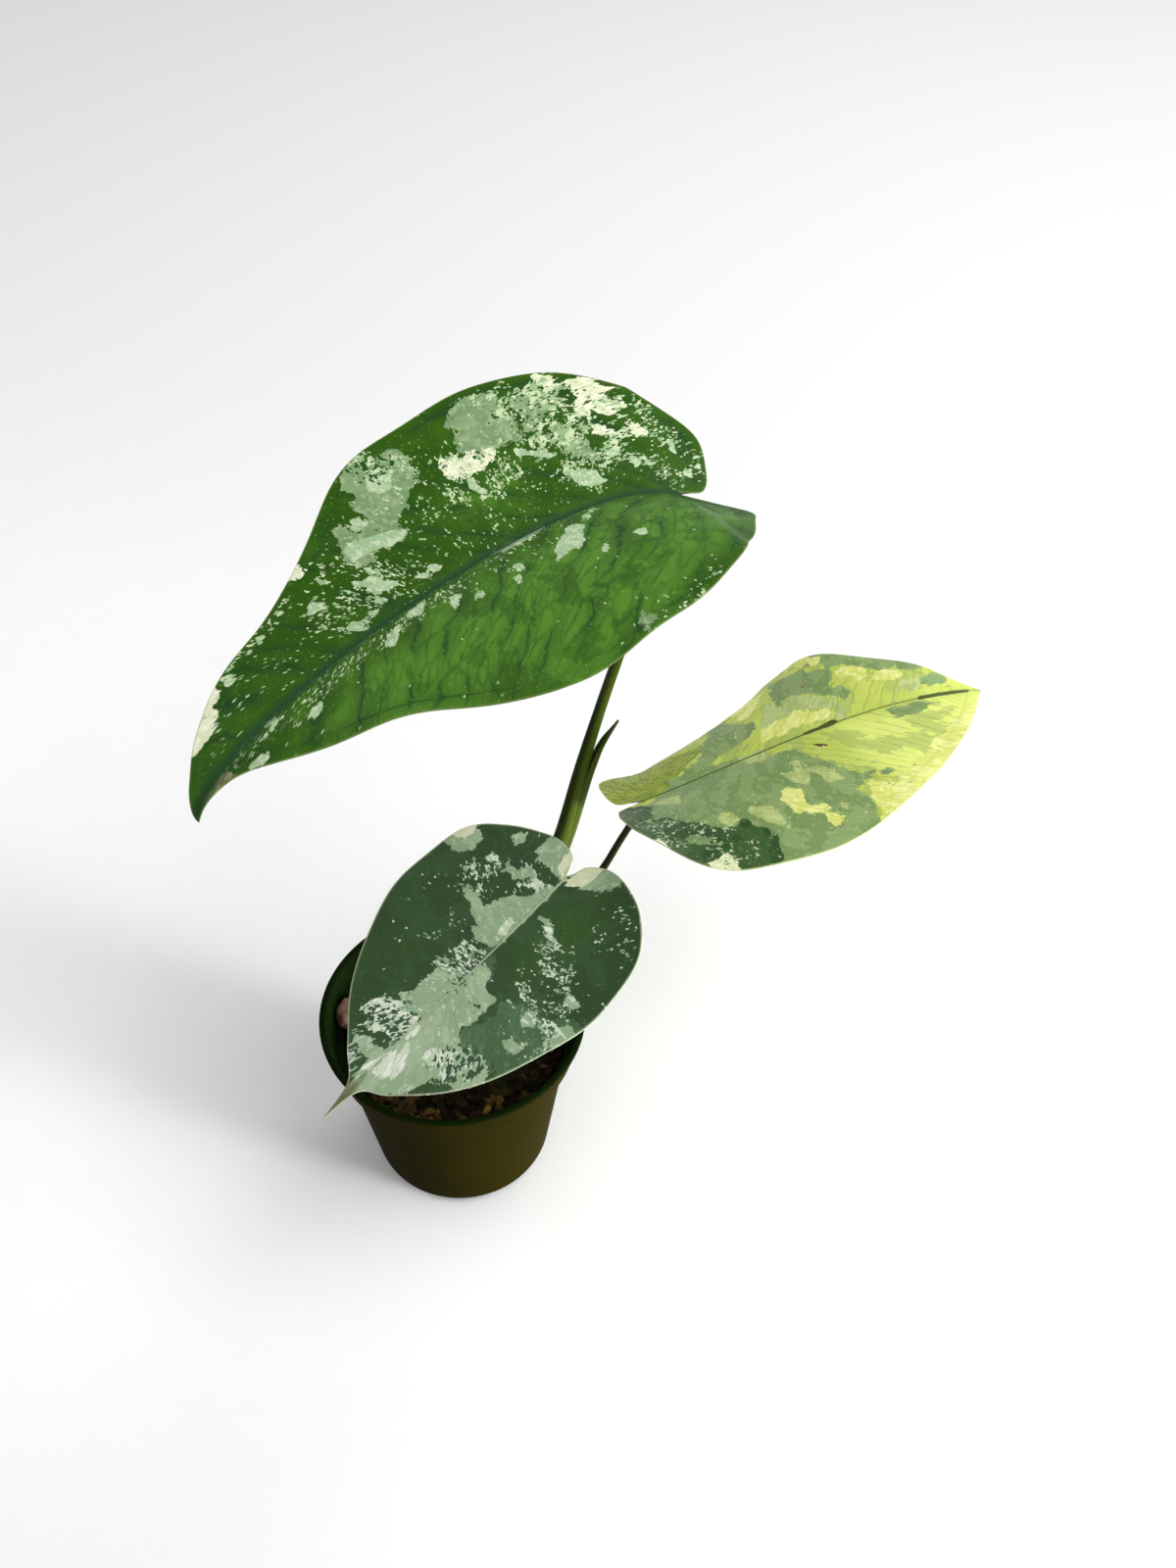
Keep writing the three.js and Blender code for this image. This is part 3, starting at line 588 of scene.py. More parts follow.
leafUpper["patches"] = {
    "sage": [
        [(36.5, 82), (30.5, 78.5), (28.5, 73), (27, 66), (28, 58), (32, 52), (38, 50), (42.5, 49.5),
         (48.5, 56.5), (48.5, 62.5), (46, 72), (41.5, 79)],
        [(83.5, 59.5), (87, 55.5), (85, 51), (89, 44.5), (90.5, 43.5), (93.5, 47), (94.5, 50.5),
         (97.5, 50.5),
         (97, 41), (99.5, 37.5), (95, 30), (90, 31.5), (88, 34), (80.5, 31.5), (78.5, 39), (77.5, 43),
         (72, 46), (69, 50), (75, 56)],
        [(75, 76.5), (65, 70.5), (63.5, 61.5), (66, 54), (71, 48), (78, 46), (86, 53), (84, 60), (83.5, 69),
         (79.5, 74)],
        [(18, 57.5), (16, 56.5), (17, 51), (17.5, 47.5), (15.5, 45), (15.5, 34), (16.5, 27.5), (19.5, 32),
         (22, 39), (21, 46), (20, 52.5)],
        [(26, 75), (21.5, 75.5), (15.5, 72.5), (16.5, 68), (19.5, 62.5), (23.5, 62), (22.5, 58.5),
         (25.5, 52.5), (29, 52.5), (30, 54.5), (26.5, 58.5), (25.5, 65.5), (27.5, 71)],
        [(54, -78), (50, -77), (49, -81), (55, -83)],
    ],
    "pale": [
        [(87.5, 13), (84.5, 9.5), (85, 7), (87, 7.5), (88.5, 10.5)],
        [(88, -9.5), (87, -11), (88.5, -14), (90, -13), (89, -10)],
        [(86, -11), (83.5, -12.5), (83.5, -15), (86.5, -18), (88.5, -19), (88.5, -16)],
        [(79.5, -17), (78, -18.5), (79.5, -22), (81.5, -22.5), (81.5, -20.5)],
        [(68.5, -23), (66.5, -25), (67.5, -28), (69, -27), (69.5, -25)],
        [(65, -17.5), (63.5, -19.5), (64.5, -22), (66, -20.5)],
        [(99, -6), (96.5, -4), (92, -3), (94, -5.5), (98, -7.5)],
        [(67, 0), (64, 0.5), (61.5, 0.5), (63, -1.5), (67, -2.5)],
        [(60, -0.5), (57.5, 0), (54, -1.5), (56, -3.5), (60.5, -2.5)],
        [(52, -0.5), (46.5, 0), (48, -2.5), (52, -2.5)],
        [(111, -10.5), (108, -8.5), (105.5, -5.5), (103, -6), (104.5, -10), (107.5, -10.5), (110.5, -13.5)],
        [(106.5, 8.5), (104.5, 7.5), (106, 6), (107.5, 7.5)],
        [(103.5, 14.5), (102, 11.5), (101.5, 9), (103.5, 12.5)],
        [(83, 12), (80.5, 10), (81, 8), (84, 9.5)],
        [(80, 28), (77, 25), (78, 23.5), (80, 26)],
        [(99, 29), (97, 28), (96, 23.5), (98, 22), (99, 25.5)],
        [(104.5, 26.5), (102.5, 25), (99, 22), (97, 22), (96, 20), (96.5, 18.5), (94, 15), (94.5, 12.5),
         (97, 13), (98.5, 15.5), (100.5, 15.5), (102.5, 19.5), (103.5, 23)],
        [(117.5, 33.5), (116, 30.5), (115.5, 26), (117, 25), (120.5, 24.5), (121, 26), (119, 28.5)],
        [(115, 10.5), (112.5, 10), (110.5, 8), (110.5, 5), (112, 3), (114, 5.5), (115.5, 9)],
        [(127.5, 36), (126, 35), (127, 33), (128, 33.5)],
        [(137.5, 32.5), (135.5, 32), (137, 29.5), (138, 29.5), (138, 31.5)],
        [(146.5, 28), (145, 28), (145.5, 25.5), (146.5, 26)],
        [(153, 27.5), (151, 25.5), (152, 23), (153.5, 24)],
        [(110, -12), (107.5, -7.5), (102.5, -5), (103, -7.5), (107.5, -12.5), (110, -13.5)],
        [(156.5, -1.5), (154, -0.5), (151, -2.5), (151, -4), (155.5, -5)],
        [(150, -12), (146, -12.5), (147, -13.5), (149.5, -13.5)],
        [(144, -13.5), (142, -11.5), (139.5, -12.5), (141, -14.5), (143.5, -15.5)],
        [(168.5, -9.5), (166.5, -9), (163.5, -11), (163, -13), (165, -13), (168, -12)],
        [(26, 25.5), (20.5, 23.5), (18, 21), (19, 16), (17.5, 13), (23.5, 12), (26, 16.5)],
        [(39.5, -10.5), (38.5, -14.5), (42, -22), (47, -29), (50, -28), (55.5, -29.5), (54, -26),
         (48, -17), (43.5, -11.5)],
        [(10, 31.5), (8, 32), (8, 28), (10.5, 28)],
        [(5.5, 27.5), (4, 28.5), (5, 18), (6, 19)],
        [(2, 29.5), (1.5, 26.5), (2, 21.5), (2.5, 25)],
        [(36, -8), (33, -5.5), (30.5, -4.5), (34, -10.5), (37, -11.5)],
        [(34.5, 47), (30.5, 42.5), (25, 36.5), (29.5, 38), (34, 44)],
        [(-8, 38), (-9, 37), (-8.5, 30.5), (-7.5, 32)],
        [(-10, 19.5), (-12.5, 21), (-11.5, 16.5), (-9.5, 14.5)],
        [(-15.5, 28.5), (-17, 29.5), (-16.5, 23), (-15, 22)],
        [(52, 41.5), (52, 38), (51.5, 31), (52.5, 32), (53.5, 38.5)],
        [(30, -37.5), (28, -37.5), (28.5, -42), (30, -42)],
        [(43, -37.5), (41, -35.5), (36, -31.5), (39, -35.5), (44, -41)],
        [(97.5, 42.5), (92, 42), (86.5, 38), (80, 35.5), (80, 32.5), (87, 31.5), (92.5, 33.5), (98, 35.5)],
        [(77, 67), (71, 68), (70, 62.5), (73.5, 56.5), (78, 56), (78.5, 61)],
        [(90, 53), (87, 52), (88, 47.5), (91, 46), (92, 49)],
    ],
    "cream": [
        [(160, 27), (157.5, 23.5), (160.5, 21.5), (160.5, 19.5), (163, 16), (167, 15.5), (171, 14),
         (175.5, 11.5),
         (177, 14), (172, 20), (167, 24), (163, 27)],
        [(10.5, 76), (6, 74.5), (2, 70), (1, 68.5), (4, 67.5), (4.5, 65.5), (4, 60), (3.5, 54.5), (5, 53),
         (6.5, 56.5), (8.5, 58), (9.5, 55), (10, 50.5), (11.5, 53), (12, 59.5), (10.5, 63.5), (10.5, 70.5)],
        [(3, 53), (1, 50.5), (0, 42), (1.5, 40.5), (2.5, 45), (3, 49)],
        [(16, 69.5), (13.5, 68.5), (13.5, 63.5), (15, 61), (16, 64.5)],
        [(15, 63), (12, 56.5), (12, 53), (14.5, 54.5)],
        [(46, 54), (40, 49.5), (44.5, 47.5), (47, 52.5)],
        [(16, 82.5), (14.5, 80.5), (11.5, 74.5), (12.5, 73), (15, 75.5), (16, 79.5)],
        [(10.5, 49), (7.5, 49), (6, 45), (4.5, 43.5), (5.5, 41.5), (8.5, 42.5), (10.5, 45.5)],
        [(54, 56), (50, 55), (41, 48), (47, 42), (51, 46), (56, 42), (58, 48)],
        [(118, 46), (112, 50), (114, 44)],
    ],
    "dry": [
        [(186, -0.5), (183, -0.5), (180.5, -2.5), (177.5, -2), (174, -3.5), (173, -9), (177.5, -9),
         (181, -6),
         (185, -3)],
    ],
}
leafUpper["zones"] = {
    "specks": (0.05, [
        (0.56, 10, [(36, 84), (14, 84), (0, 66), (0, 40), (8, 20), (22, 6), (34, 25), (36, 50)]),
        (0.42, 6, [(2, 70), (-10, 56), (-18, 36), (-16, 12), (-2, 2), (8, 20), (2, 40)]),
        (0.4, 6, [(20, 0), (40, -1), (72, -3), (108, -3), (140, -2), (176, -1), (170, -7), (140, -11),
                  (106, -13), (72, -10), (40, -6)]),
        (0.4, 12, [(98, 52), (84, 34), (78, 12), (84, 2), (104, 3), (126, 5), (131, 29), (113, 46)]),
        (0.26, 14, [(30, 4), (30, 60), (60, 76), (90, 62), (120, 44), (165, 20), (176, 4), (100, 2)]),
        (0.42, 8, [(160, 30), (134, 44), (112, 56), (108, 44), (122, 34), (135, 27), (154, 19)]),
        (0.46, 10, [(62, 62), (36, 56), (32, 36), (40, 22), (62, 26), (68, 44)]),
        (0.36, 6, [(64, -76), (50, -76), (36, -74), (22, -72), (20, -86), (46, -92), (66, -84)]),
        (0.28, 8, [(66, -6), (40, -10), (42, -26), (66, -22), (88, -20), (86, -8)]),
        (0.5, 5, [(86, 76), (74, 80), (60, 66), (62, 56), (70, 46), (76, 58)]),
    ]),
    # painted glow: brighter green where light shining through the blade is painted in
    "paintedGlow": (0.05, [
        (1.0, 40, [(6, -14), (-14, -34), (30, -84), (66, -88), (104, -66), (140, -34), (150, -14),
                   (109, -14), (72, -12), (32, -8)]),
        (0.3, 20, [(130, 4), (160, 6), (186, 2), (176, 12), (150, 22), (128, 20)]),
        (0.35, 24, [(40, 8), (30, 40), (60, 48), (76, 20), (60, 6)]),
    ]),
    "strokes": (0.0, [
        (0.5, 6, [(22, 1), (60, 2), (110, 1.5), (170, 1), (186, 0), (172, -6), (150, -13), (110, -14),
                  (70, -10),
                  (40, -7), (24, -4)]),
        (0.4, 1.5, [(36, 1), (120, 1), (120, -2), (36, -2)]),
        (0.4, 10, [(150, 2), (182, 2), (172, -10), (150, -14)]),
    ]),
    "net": (0.25, [
        (1.0, 24, [(6, -10), (-14, -34), (30, -84), (66, -88), (104, -66), (150, -24), (109, -14),
                   (32, -8)]),
        (0.5, 20, [(30, 4), (30, 40), (60, 48), (120, 30), (180, 6), (100, 4)]),
    ]),
    "islands": (0.0, [
        (0.42, 6, [(36, 68), (24, 80), (4, 74), (0, 50), (16, 46), (30, 56)]),
        (0.62, 5, [(84, 76), (66, 76), (64, 64), (76, 60)]),
        (0.3, 5, [(100, 56), (86, 66), (84, 58), (92, 50)]),
    ]),
}
leafRight["patches"] = {
    "olive": [
        [(-24, -60), (-9, -54), (4, -44), (16, -34), (24, -31), (24.5, -22), (18.5, -17), (14, -10.5),
         (12, -4),
         (4, -1), (-2, 6), (-12, 2), (-18, -15)],
    ],
    "sage": [
        [(12, -10), (34, -2), (47, 6), (57, 8), (63, 22), (74, 38), (70, 46), (72, 58), (68, 68), (56, 78),
         (48, 84), (30, 86), (18, 70), (4, 60), (-8, 40), (-8, 14), (2, 8)],
        [(82, -58), (92, -53), (100, -43), (110, -33), (119, -25), (128, -17), (123, -14.5), (117.5, -15.5),
         (116, -18.5), (110.5, -20), (106, -21), (102.5, -24), (99.5, -27), (96, -30.5), (91, -33.5),
         (88, -36), (86, -40), (81, -43)],
        [(58.5, -60), (61.5, -54), (67.5, -51.5), (75, -47.5), (81, -39.5), (85, -36), (87, -31.5),
         (85.5, -25), (84, -21), (86, -17.5), (84, -12), (81.5, -15.5), (76, -17), (74.5, -21.5),
         (69, -25.5),
         (65.5, -28.5), (62, -22), (57.5, -24), (57.5, -33), (57, -43)],
        [(30, -60), (38, -32), (47, -23), (44, -13), (36, -12), (27, -8), (14, 0), (14, -9), (23, -17)],
        [(93.5, 2.5), (98, 2), (104, 3), (110.5, 3.5), (116.5, 4), (116.5, 5.5), (110.5, 5.5), (106.5, 8),
         (103, 8.5), (100, 6), (97, 7.5), (94, 5.5)],
    ],
    "pale": [
        [(37.5, 43.5), (42, 45.5), (45, 50.5), (46, 60), (43, 59), (39, 52.5), (37, 48.5)],
        [(23.5, 45.5), (26.5, 42.5), (30.5, 46), (31, 51), (28.5, 55), (25.5, 50.5)],
        [(49.5, 24), (53, 24), (55.5, 17.5), (57, 20), (57, 25.5), (62, 26.5), (66.5, 33), (66, 37.5),
         (62.5, 37), (60.5, 29.5), (58.5, 28.5), (56.5, 35), (53, 32)],
        [(58, 58.5), (60, 56.5), (60, 61.5), (58.5, 64)],
        [(2.5, 13), (7, 10.5), (12, 15.5), (12, 23.5), (8.5, 22.5), (3.5, 18)],
        [(63, 50.5), (64.5, 52), (64.5, 55.5), (63, 57), (62.5, 54)],
        [(38, -2), (46, -1), (47.5, 4.5), (44.5, 10.5), (39, 3.5)],
        [(63.5, -29), (71, -23), (76, -16.5), (80, -14), (80, -9.5), (78, -7), (74, -11), (67.5, -14),
         (64, -16),
         (59.5, -15.5), (54, -15), (49, -13.5), (49.5, -23), (51.5, -29.5), (55.5, -35.5), (57.5, -23.5)],
        [(80.5, -10.5), (81, -5.5), (80.5, -0.5), (77.5, -1), (76, -2), (74, -3), (76.5, -5.5), (78, -7)],
        [(109, -11.5), (115, -11), (120, -8.5), (114.5, -5), (109, -4.5), (106.5, -8)],
    ],
    "dark": [
        [(-13, 19.5), (-9, 4), (-0.5, 14), (0.5, 29), (8.5, 35), (16.5, 47.5), (21.5, 53), (25.5, 55.5),
         (29, 55), (33.5, 51.5), (36.5, 57.5), (41, 58.5), (40.5, 65), (41, 72), (41, 79), (38, 82),
         (30.5, 85), (23, 84), (13, 82), (2, 76), (-6, 68), (-12, 52), (-15, 36)],
    ],
    "inner": [
        [(11, 60), (13.5, 56.5), (20.5, 60.5), (19.5, 64.5), (16, 65.5), (12.5, 64)],
        [(-1, 27.5), (3, 20.5), (7, 29.5), (11.5, 40), (16, 47), (12, 44.5), (6, 38), (0.5, 36.5),
         (-1, 34)],
        [(75.5, 35.5), (78, 36), (82.5, 37), (82.5, 38.5), (80, 39.5), (76, 38), (75, 37.5)],
        [(121, -11.5), (126.5, -13), (128.5, -11), (131, -6.5), (127, -4), (123.5, -6), (119, -5.5),
         (116.5, -7.5)],
    ],
    "cream": [
        [(47, 36), (50, 35), (53, 38.5), (53.5, 44.5), (55, 48.5), (59, 51), (57.5, 55), (51.5, 53.5),
         (48.5, 51), (48.5, 46.5), (46.5, 43)],
        [(73, 42), (80, 46), (91, 34), (107, 22), (128, 10), (142, 2), (122, 22), (101, 40), (84, 56),
         (72, 66), (72, 52)],
        [(47.5, -12.5), (53.5, -14.5), (59.5, -14.5), (64, -15.5), (67.5, -13.5), (67, -10.5),
         (72.5, -10.5),
         (76.5, -9), (76, -6), (71.5, -4.5), (66.5, -6), (63.5, -6.5), (59, -6), (52.5, -5.5), (47.5, -5)],
        [(70.5, -69), (76.5, -67.5), (82, -66), (85.5, -55), (82.5, -49), (78.5, -50), (75, -57),
         (71.5, -58.5)],
        [(84.5, -49), (88, -47.5), (88.5, -44.5), (85.5, -41), (82.5, -41), (81.5, -44)],
        [(89, -30.5), (93.5, -31), (98.5, -27.5), (100.5, -23), (99, -18.5), (95.5, -17.5), (93.5, -20.5),
         (91.5, -25.5), (88, -24), (87, -26.5)],
        [(103.5, -20), (110, -19.5), (113, -16.5), (112, -14), (107.5, -13), (104, -15), (101, -15.5)],
        [(26, 44.5), (28.5, 44.5), (29, 49), (27.5, 50.5), (26, 47.5)],
        [(58.5, 57.5), (60.5, 58), (59.5, 63), (58.5, 63), (58, 60)],
        [(35, -84), (42, -69), (52, -52), (48, -36), (42, -32)],
    ],
    "white": [
        [(17, 78), (21, 75.5), (23.5, 73), (26, 73.5), (25.5, 76.5), (27, 77), (27, 84), (21, 85),
         (18, 84)],
        [(-4, 66), (-1, 62), (2, 68.5), (4, 74), (-2, 73)],
    ],
    "blot": [
        [(62.5, -0.7), (66, -0.8), (70.5, -1), (75, -2.2), (76, -0.5), (74, 1), (69, 0.6), (63.5, 0.6)],
        [(110.5, -0.6), (121, -0.5), (137.5, -0.6), (135, 0.7), (119.5, 0.9), (109.5, 0.7)],
    ],
    "scar": [
        [(63.5, 9.6), (66, 11.3), (68, 13.3), (67.5, 14), (65, 12)],
        [(70.5, -32), (72.5, -31), (72, -30.3)],
    ],
}
leafRight["zones"] = {
    "specks": (0.05, [
        (0.4, 8, [(0, 12), (0, 32), (10, 38), (22, 52), (36, 56), (40, 80), (18, 82), (-8, 62), (-12, 30)]),
        (0.2, 10, [(40, 10), (90, 8), (96, 30), (74, 40), (60, 26)]),
        (0.2, 10, [(20, -10), (40, -30), (60, -30), (50, -8)]),
    ]),
    # painted glow: brighter green where light shining through the blade is painted in
    "paintedGlow": (0.3, [
        (1.0, 16, [(76, 2), (110, 2), (144, 2), (128, 14), (100, 36), (84, 44), (72, 24)]),
    ]),
    "strokes": (0.0, []),
    "net": (0.5, [
        (1.0, 12, [(-18, -60), (14, -40), (10, 4), (-10, -2), (-18, -30)]),
    ]),
    "islands": (0.0, [
        (0.12, 8, [(30, 50), (44, 60), (44, 78), (20, 80)]),
        (0.1, 8, [(60, -50), (90, -36), (90, -14), (60, -20)]),
    ]),
}
leafFront["patches"] = {
    # painted sheen: greyer green painted where the blade reflects its surroundings, a painted reflection
    "paintedSheen": [
        [(52, -22.5), (47.5, -20), (43.5, -25.5), (41, -40), (33.5, -48.5), (39.5, -56), (50, -54),
         (60, -49), (69.5, -43), (66, -35), (65, -30), (68, -21.5), (66, -16.5), (61.5, -15), (56, -20)],
        [(48, 6), (42.5, 5), (36, 2.5), (36.5, -3), (46.5, -10.5), (41, -2.5)],
    ],
    "sage": [
        [(15.5, 56), (8, 56), (2.5, 50), (6, 42.5), (10.5, 40), (16, 45.5), (17.5, 52)],
        [(-3, 34), (-7, 31), (-3.5, 28), (-1, 30)],
        [(-4, 20), (-11.5, 22), (-15, 15), (-14, 8), (-8.5, 1), (0, -1), (1, 2), (-1.5, 10.5), (-0.5, 16)],
        [(25, 30.5), (22.5, 24), (26.5, 18), (24.5, 16), (19, 15), (14, 8), (7.5, 5), (4.5, 2), (0.5, 0),
         (14.5, 0), (30, 0), (33, 1), (38, 9.5), (35, 13), (31.5, 11.5), (28.5, 21), (28.5, 26)],
        [(0, -8), (-9, -9.5), (-14, -12), (-15, -20), (-11, -23), (-5.5, -17.5)],
        [(15, -4), (15, -8), (17, -14.5), (19.5, -16), (17.5, -10)],
        [(69.5, 13.5), (64, 10), (58, 11), (51, 10.5), (49, 7.5), (52, 1.5), (51.5, 0), (62.5, 0),
         (70.5, 0),
         (71.5, 7), (68, 8), (71, 11.5)],
        [(51.5, -0.5), (44.5, 0.5), (41.5, -0.5), (42, -3), (44, -7.5), (47, -9.5), (47.5, -13),
         (48, -16.5),
         (51.5, -16.5), (54.5, -11), (55, -3.5)],
        [(53.5, 0), (55, -7.5), (52.5, -16.5), (58, -17), (62.5, -14.5), (66.5, -17), (68.5, -22),
         (64.5, -30.5), (66, -35), (70, -37), (77, -33), (79, -23), (84, -20), (92, -17), (102, -8),
         (108, 0.5), (94.5, 0.5), (80.5, 0), (65.5, 0.5)],
        [(94, 18), (88.5, 11), (88.5, 3.5), (87, 0), (97, 0), (105, 0.6), (98, 2), (93, 2.6), (94, 8),
         (96, 13)],
        [(56.5, -31), (53, -33), (55, -34), (53.5, -39), (49, -39.5), (52, -41.5), (56, -38), (58, -34)],
        [(45.5, -30), (42.5, -31), (43, -35), (46, -36), (47.5, -33.5)],
        [(47, -48), (41.5, -45.5), (37, -47.5), (39.5, -52), (46, -52)],
        [(29, -33.5), (27.5, -37), (30.5, -45), (31.5, -44), (31, -38.5)],
        [(9.5, 23.5), (3, 15.5), (3, 10.5), (8.5, 14.5), (10.5, 20)],
    ],
    "white": [
        [(80.5, 19), (74.5, 16.5), (71, 11.5), (72, 6.5), (70, 1), (74, 0), (80.5, 0), (82.5, 7),
         (82.5, 13.5)],
        [(90.5, 0.5), (84.5, -3), (80.5, -4), (86.5, -9.5), (91, -8.5), (96.5, -1.5), (96, 1.5)],
        [(78.5, -12.5), (75, -11.5), (72, -16.5), (70.5, -22), (74.5, -22), (77.5, -18)],
        [(45, 13.5), (40.5, 11), (41, 6.5), (46, 7.5)],
        [(46.5, 5.5), (42.5, 3.5), (43.5, 0.5), (48, 1)],
        [(16.5, -8.5), (17, -13), (19, -16.5), (18.5, -13.5)],
        [(10.5, 35), (6.5, 31.5), (8, 28.5), (11, 31.5)],
        [(11, 14), (5.5, 8.5), (5.5, 5), (10, 10)],
        [(28.5, 6.5), (23, 5), (22.5, 2.5), (29.5, 1), (31, 3.5)],
    ],
    "cream": [
        [(-0.5, 1), (-2.5, 6), (-7.5, 8.5), (-12, 8), (-10, 2), (-4.5, 0), (0, -1)],
        [(1, -2.5), (-4.5, -1), (-12, -4), (-15, -11.5), (-7, -10.5), (-3, -9.5)],
        [(12.5, 54), (7.5, 56), (2, 50), (5, 48.5), (10.5, 50)],
    ],
}
leafFront["zones"] = {
    "specks": (0.08, [
        (0.46, 7, [(30, 46), (11, 38), (2, 20), (0, 8), (10, 6), (22, 16), (27, 30)]),
        (0.44, 8, [(40, -16), (25, -12), (14, -12), (16, -29), (29, -46), (40, -54), (54, -50), (58, -32)]),
        (0.75, 6, [(81, -12), (72, -12), (64, -26), (70, -34), (82, -24)]),
        (0.62, 5, [(54, 16), (38, 14), (33, 3), (44, -1), (54, 0)]),
        (0.7, 6, [(86, 22), (70, 18), (68, 4), (84, 0), (90, 8)]),
        (0.3, 8, [(60, 34), (28, 28), (34, 14), (50, 20)]),
        (0.3, 8, [(4, -20), (20, -40), (30, -54), (6, -54), (-14, -30)]),
        (0.4, 8, [(100, 10), (84, 0), (88, -14), (106, 0)]),
        (0.6, 4, [(98, 14), (93, 9), (92, 2), (106, 1), (104, 8)]),
    ]),
    # painted glow: brighter green where light shining through the blade is painted in
    "paintedGlow": (0.2, [
        (0.7, 16, [(12, -4), (40, -14), (36, -30), (6, -36), (-8, -18)]),
        (0.6, 14, [(20, 20), (2, 24), (4, 40), (24, 40)]),
    ]),
    "strokes": (0.0, []),
    "net": (0.12, []),
    "islands": (0.0, [
        (0.7, 4, [(81.5, 21.5), (74.5, 16), (72, 7.5), (72.5, 1), (79.5, 0), (84.5, 0.5), (86, 8.5),
                  (83.5, 17)]),
        (0.9, 4, [(98, 20), (90, 17), (94, 8), (103, 3), (106, 6)]),
        (0.66, 4, [(54, 5), (50, 12), (44, 15), (38, 9), (34, 0), (45, -2), (54, -3)]),
        (0.66, 4, [(78, -15), (70, -15), (62, -26), (64, -35), (73, -34), (80, -26)]),
        (0.25, 4, [(54, -4), (46, -4), (44, -14), (52, -14)]),
    ]),
}

upperLook = {
    "sectors": [
        ("sage", "#82a273", "#a4ba8c", 0.6, 0.1, 1.0),
        ("pale", "#a9c79b", "#cfe0bb", 0.8, 0.05, 0.45),
        ("cream", "#e6eac6", "#f9fbe0", 0.9, 0.05, 0.8),
        ("dry", "#6f6c48", "#a09c7a", 0.9, 0.3, 0.3),
    ],
    "green": "#345e09", "bright": "#5c902e", "tone": "#2c5410", "toneStrength": 0.4,
    "veinGreen": "#1f4420", "island": "#2a5519", "speck": "#9fbe8a", "speckPale": "#d3e3b8",
    "netStrength": 0.5, "netWidth": 0.28, "fineStrength": 0.12, "spacing": leafUpper["veins"]["spacing"],
    "lateralWidth": 1.5, "lateralStrength": 0.4, "between": 0.0, "wander": 14, "mottle": 0.35,
    "haloWidth": 5.5, "haloStrength": 0.45, "ragged": 8, "chunky": 11, "clumps": 0.6,
    "strokeTurn": -0.28, "dust": 0.8, "dustTone": "#7ea34a",
    "band": "#264f2a", "bandWidth": 4.6, "bandStrength": 0.85, "rib": "#1e3f30", "ribWidth": 0.8,
    "rim": "#7f9450", "rimWidth": 0.6, "rimStrength": 0.5, "tip": "#24401a", "tipStrength": 0.7,
    "tipFrom": 0.945,
    "beneath": "#8fae7a", "roughness": 0.4, "gloss": 0.09, "through": 0.2,
}
rightLook = {
    "sectors": [
        ("olive", "#96a634", "#adbc4a", 0.5, 0.7, 0.6),
        ("sage", "#829c62", "#9fb57a", 0.3, 0.1, 1.0),
        ("pale", "#b6c47c", "#ccd894", 0.5, 0.2, 0.6),
        ("dark", "#2f5228", "#44683a", 0.4, 0.1, 0.8),
        ("inner", "#7d9863", "#93ac75", 0.5, 0.1, 0.7),
        ("cream", "#e0e47e", "#f3f4a6", 0.6, 0.15, 0.8),
        ("white", "#eceec8", "#fbfbe0", 0.3, 0.05, 0.6),
        ("blot", "#24340f", "#33461a", 0.3, 0.0, 0.12),
        ("scar", "#5d3a1c", "#8a6034", 0.4, 0.0, 0.12),
    ],
    "green": "#c2d05c", "bright": "#e6f084", "tone": "#adbe6c", "toneStrength": 0.6,
    "veinGreen": "#64762a", "island": "#76905a", "speck": "#93ab7c", "speckPale": "#d2dab2",
    "netStrength": 0.2, "netWidth": 0.14, "fineStrength": 0.12, "spacing": leafRight["veins"]["spacing"],
    "lateralWidth": 0.7, "lateralStrength": 0.38, "between": 0.35, "wander": 4, "mottle": 0.6,
    "haloWidth": 2.0, "haloStrength": 0.0, "ragged": 6, "chunky": 8, "clumps": 0.4,
    "strokeTurn": 0.0, "dust": 0.45, "dustTone": "#cfdaa4",
    "band": "#9fb163", "bandWidth": 2.4, "bandStrength": 0.2, "rib": "#3c5218", "ribWidth": 1.0,
    "rim": "#c9cf8c", "rimWidth": 0.6, "rimStrength": 0.4, "tip": "#a9b065", "tipStrength": 0.4,
    "tipFrom": 0.96,
    "beneath": "#b5c486", "roughness": 0.42, "gloss": 0.15, "through": 0.22,
}
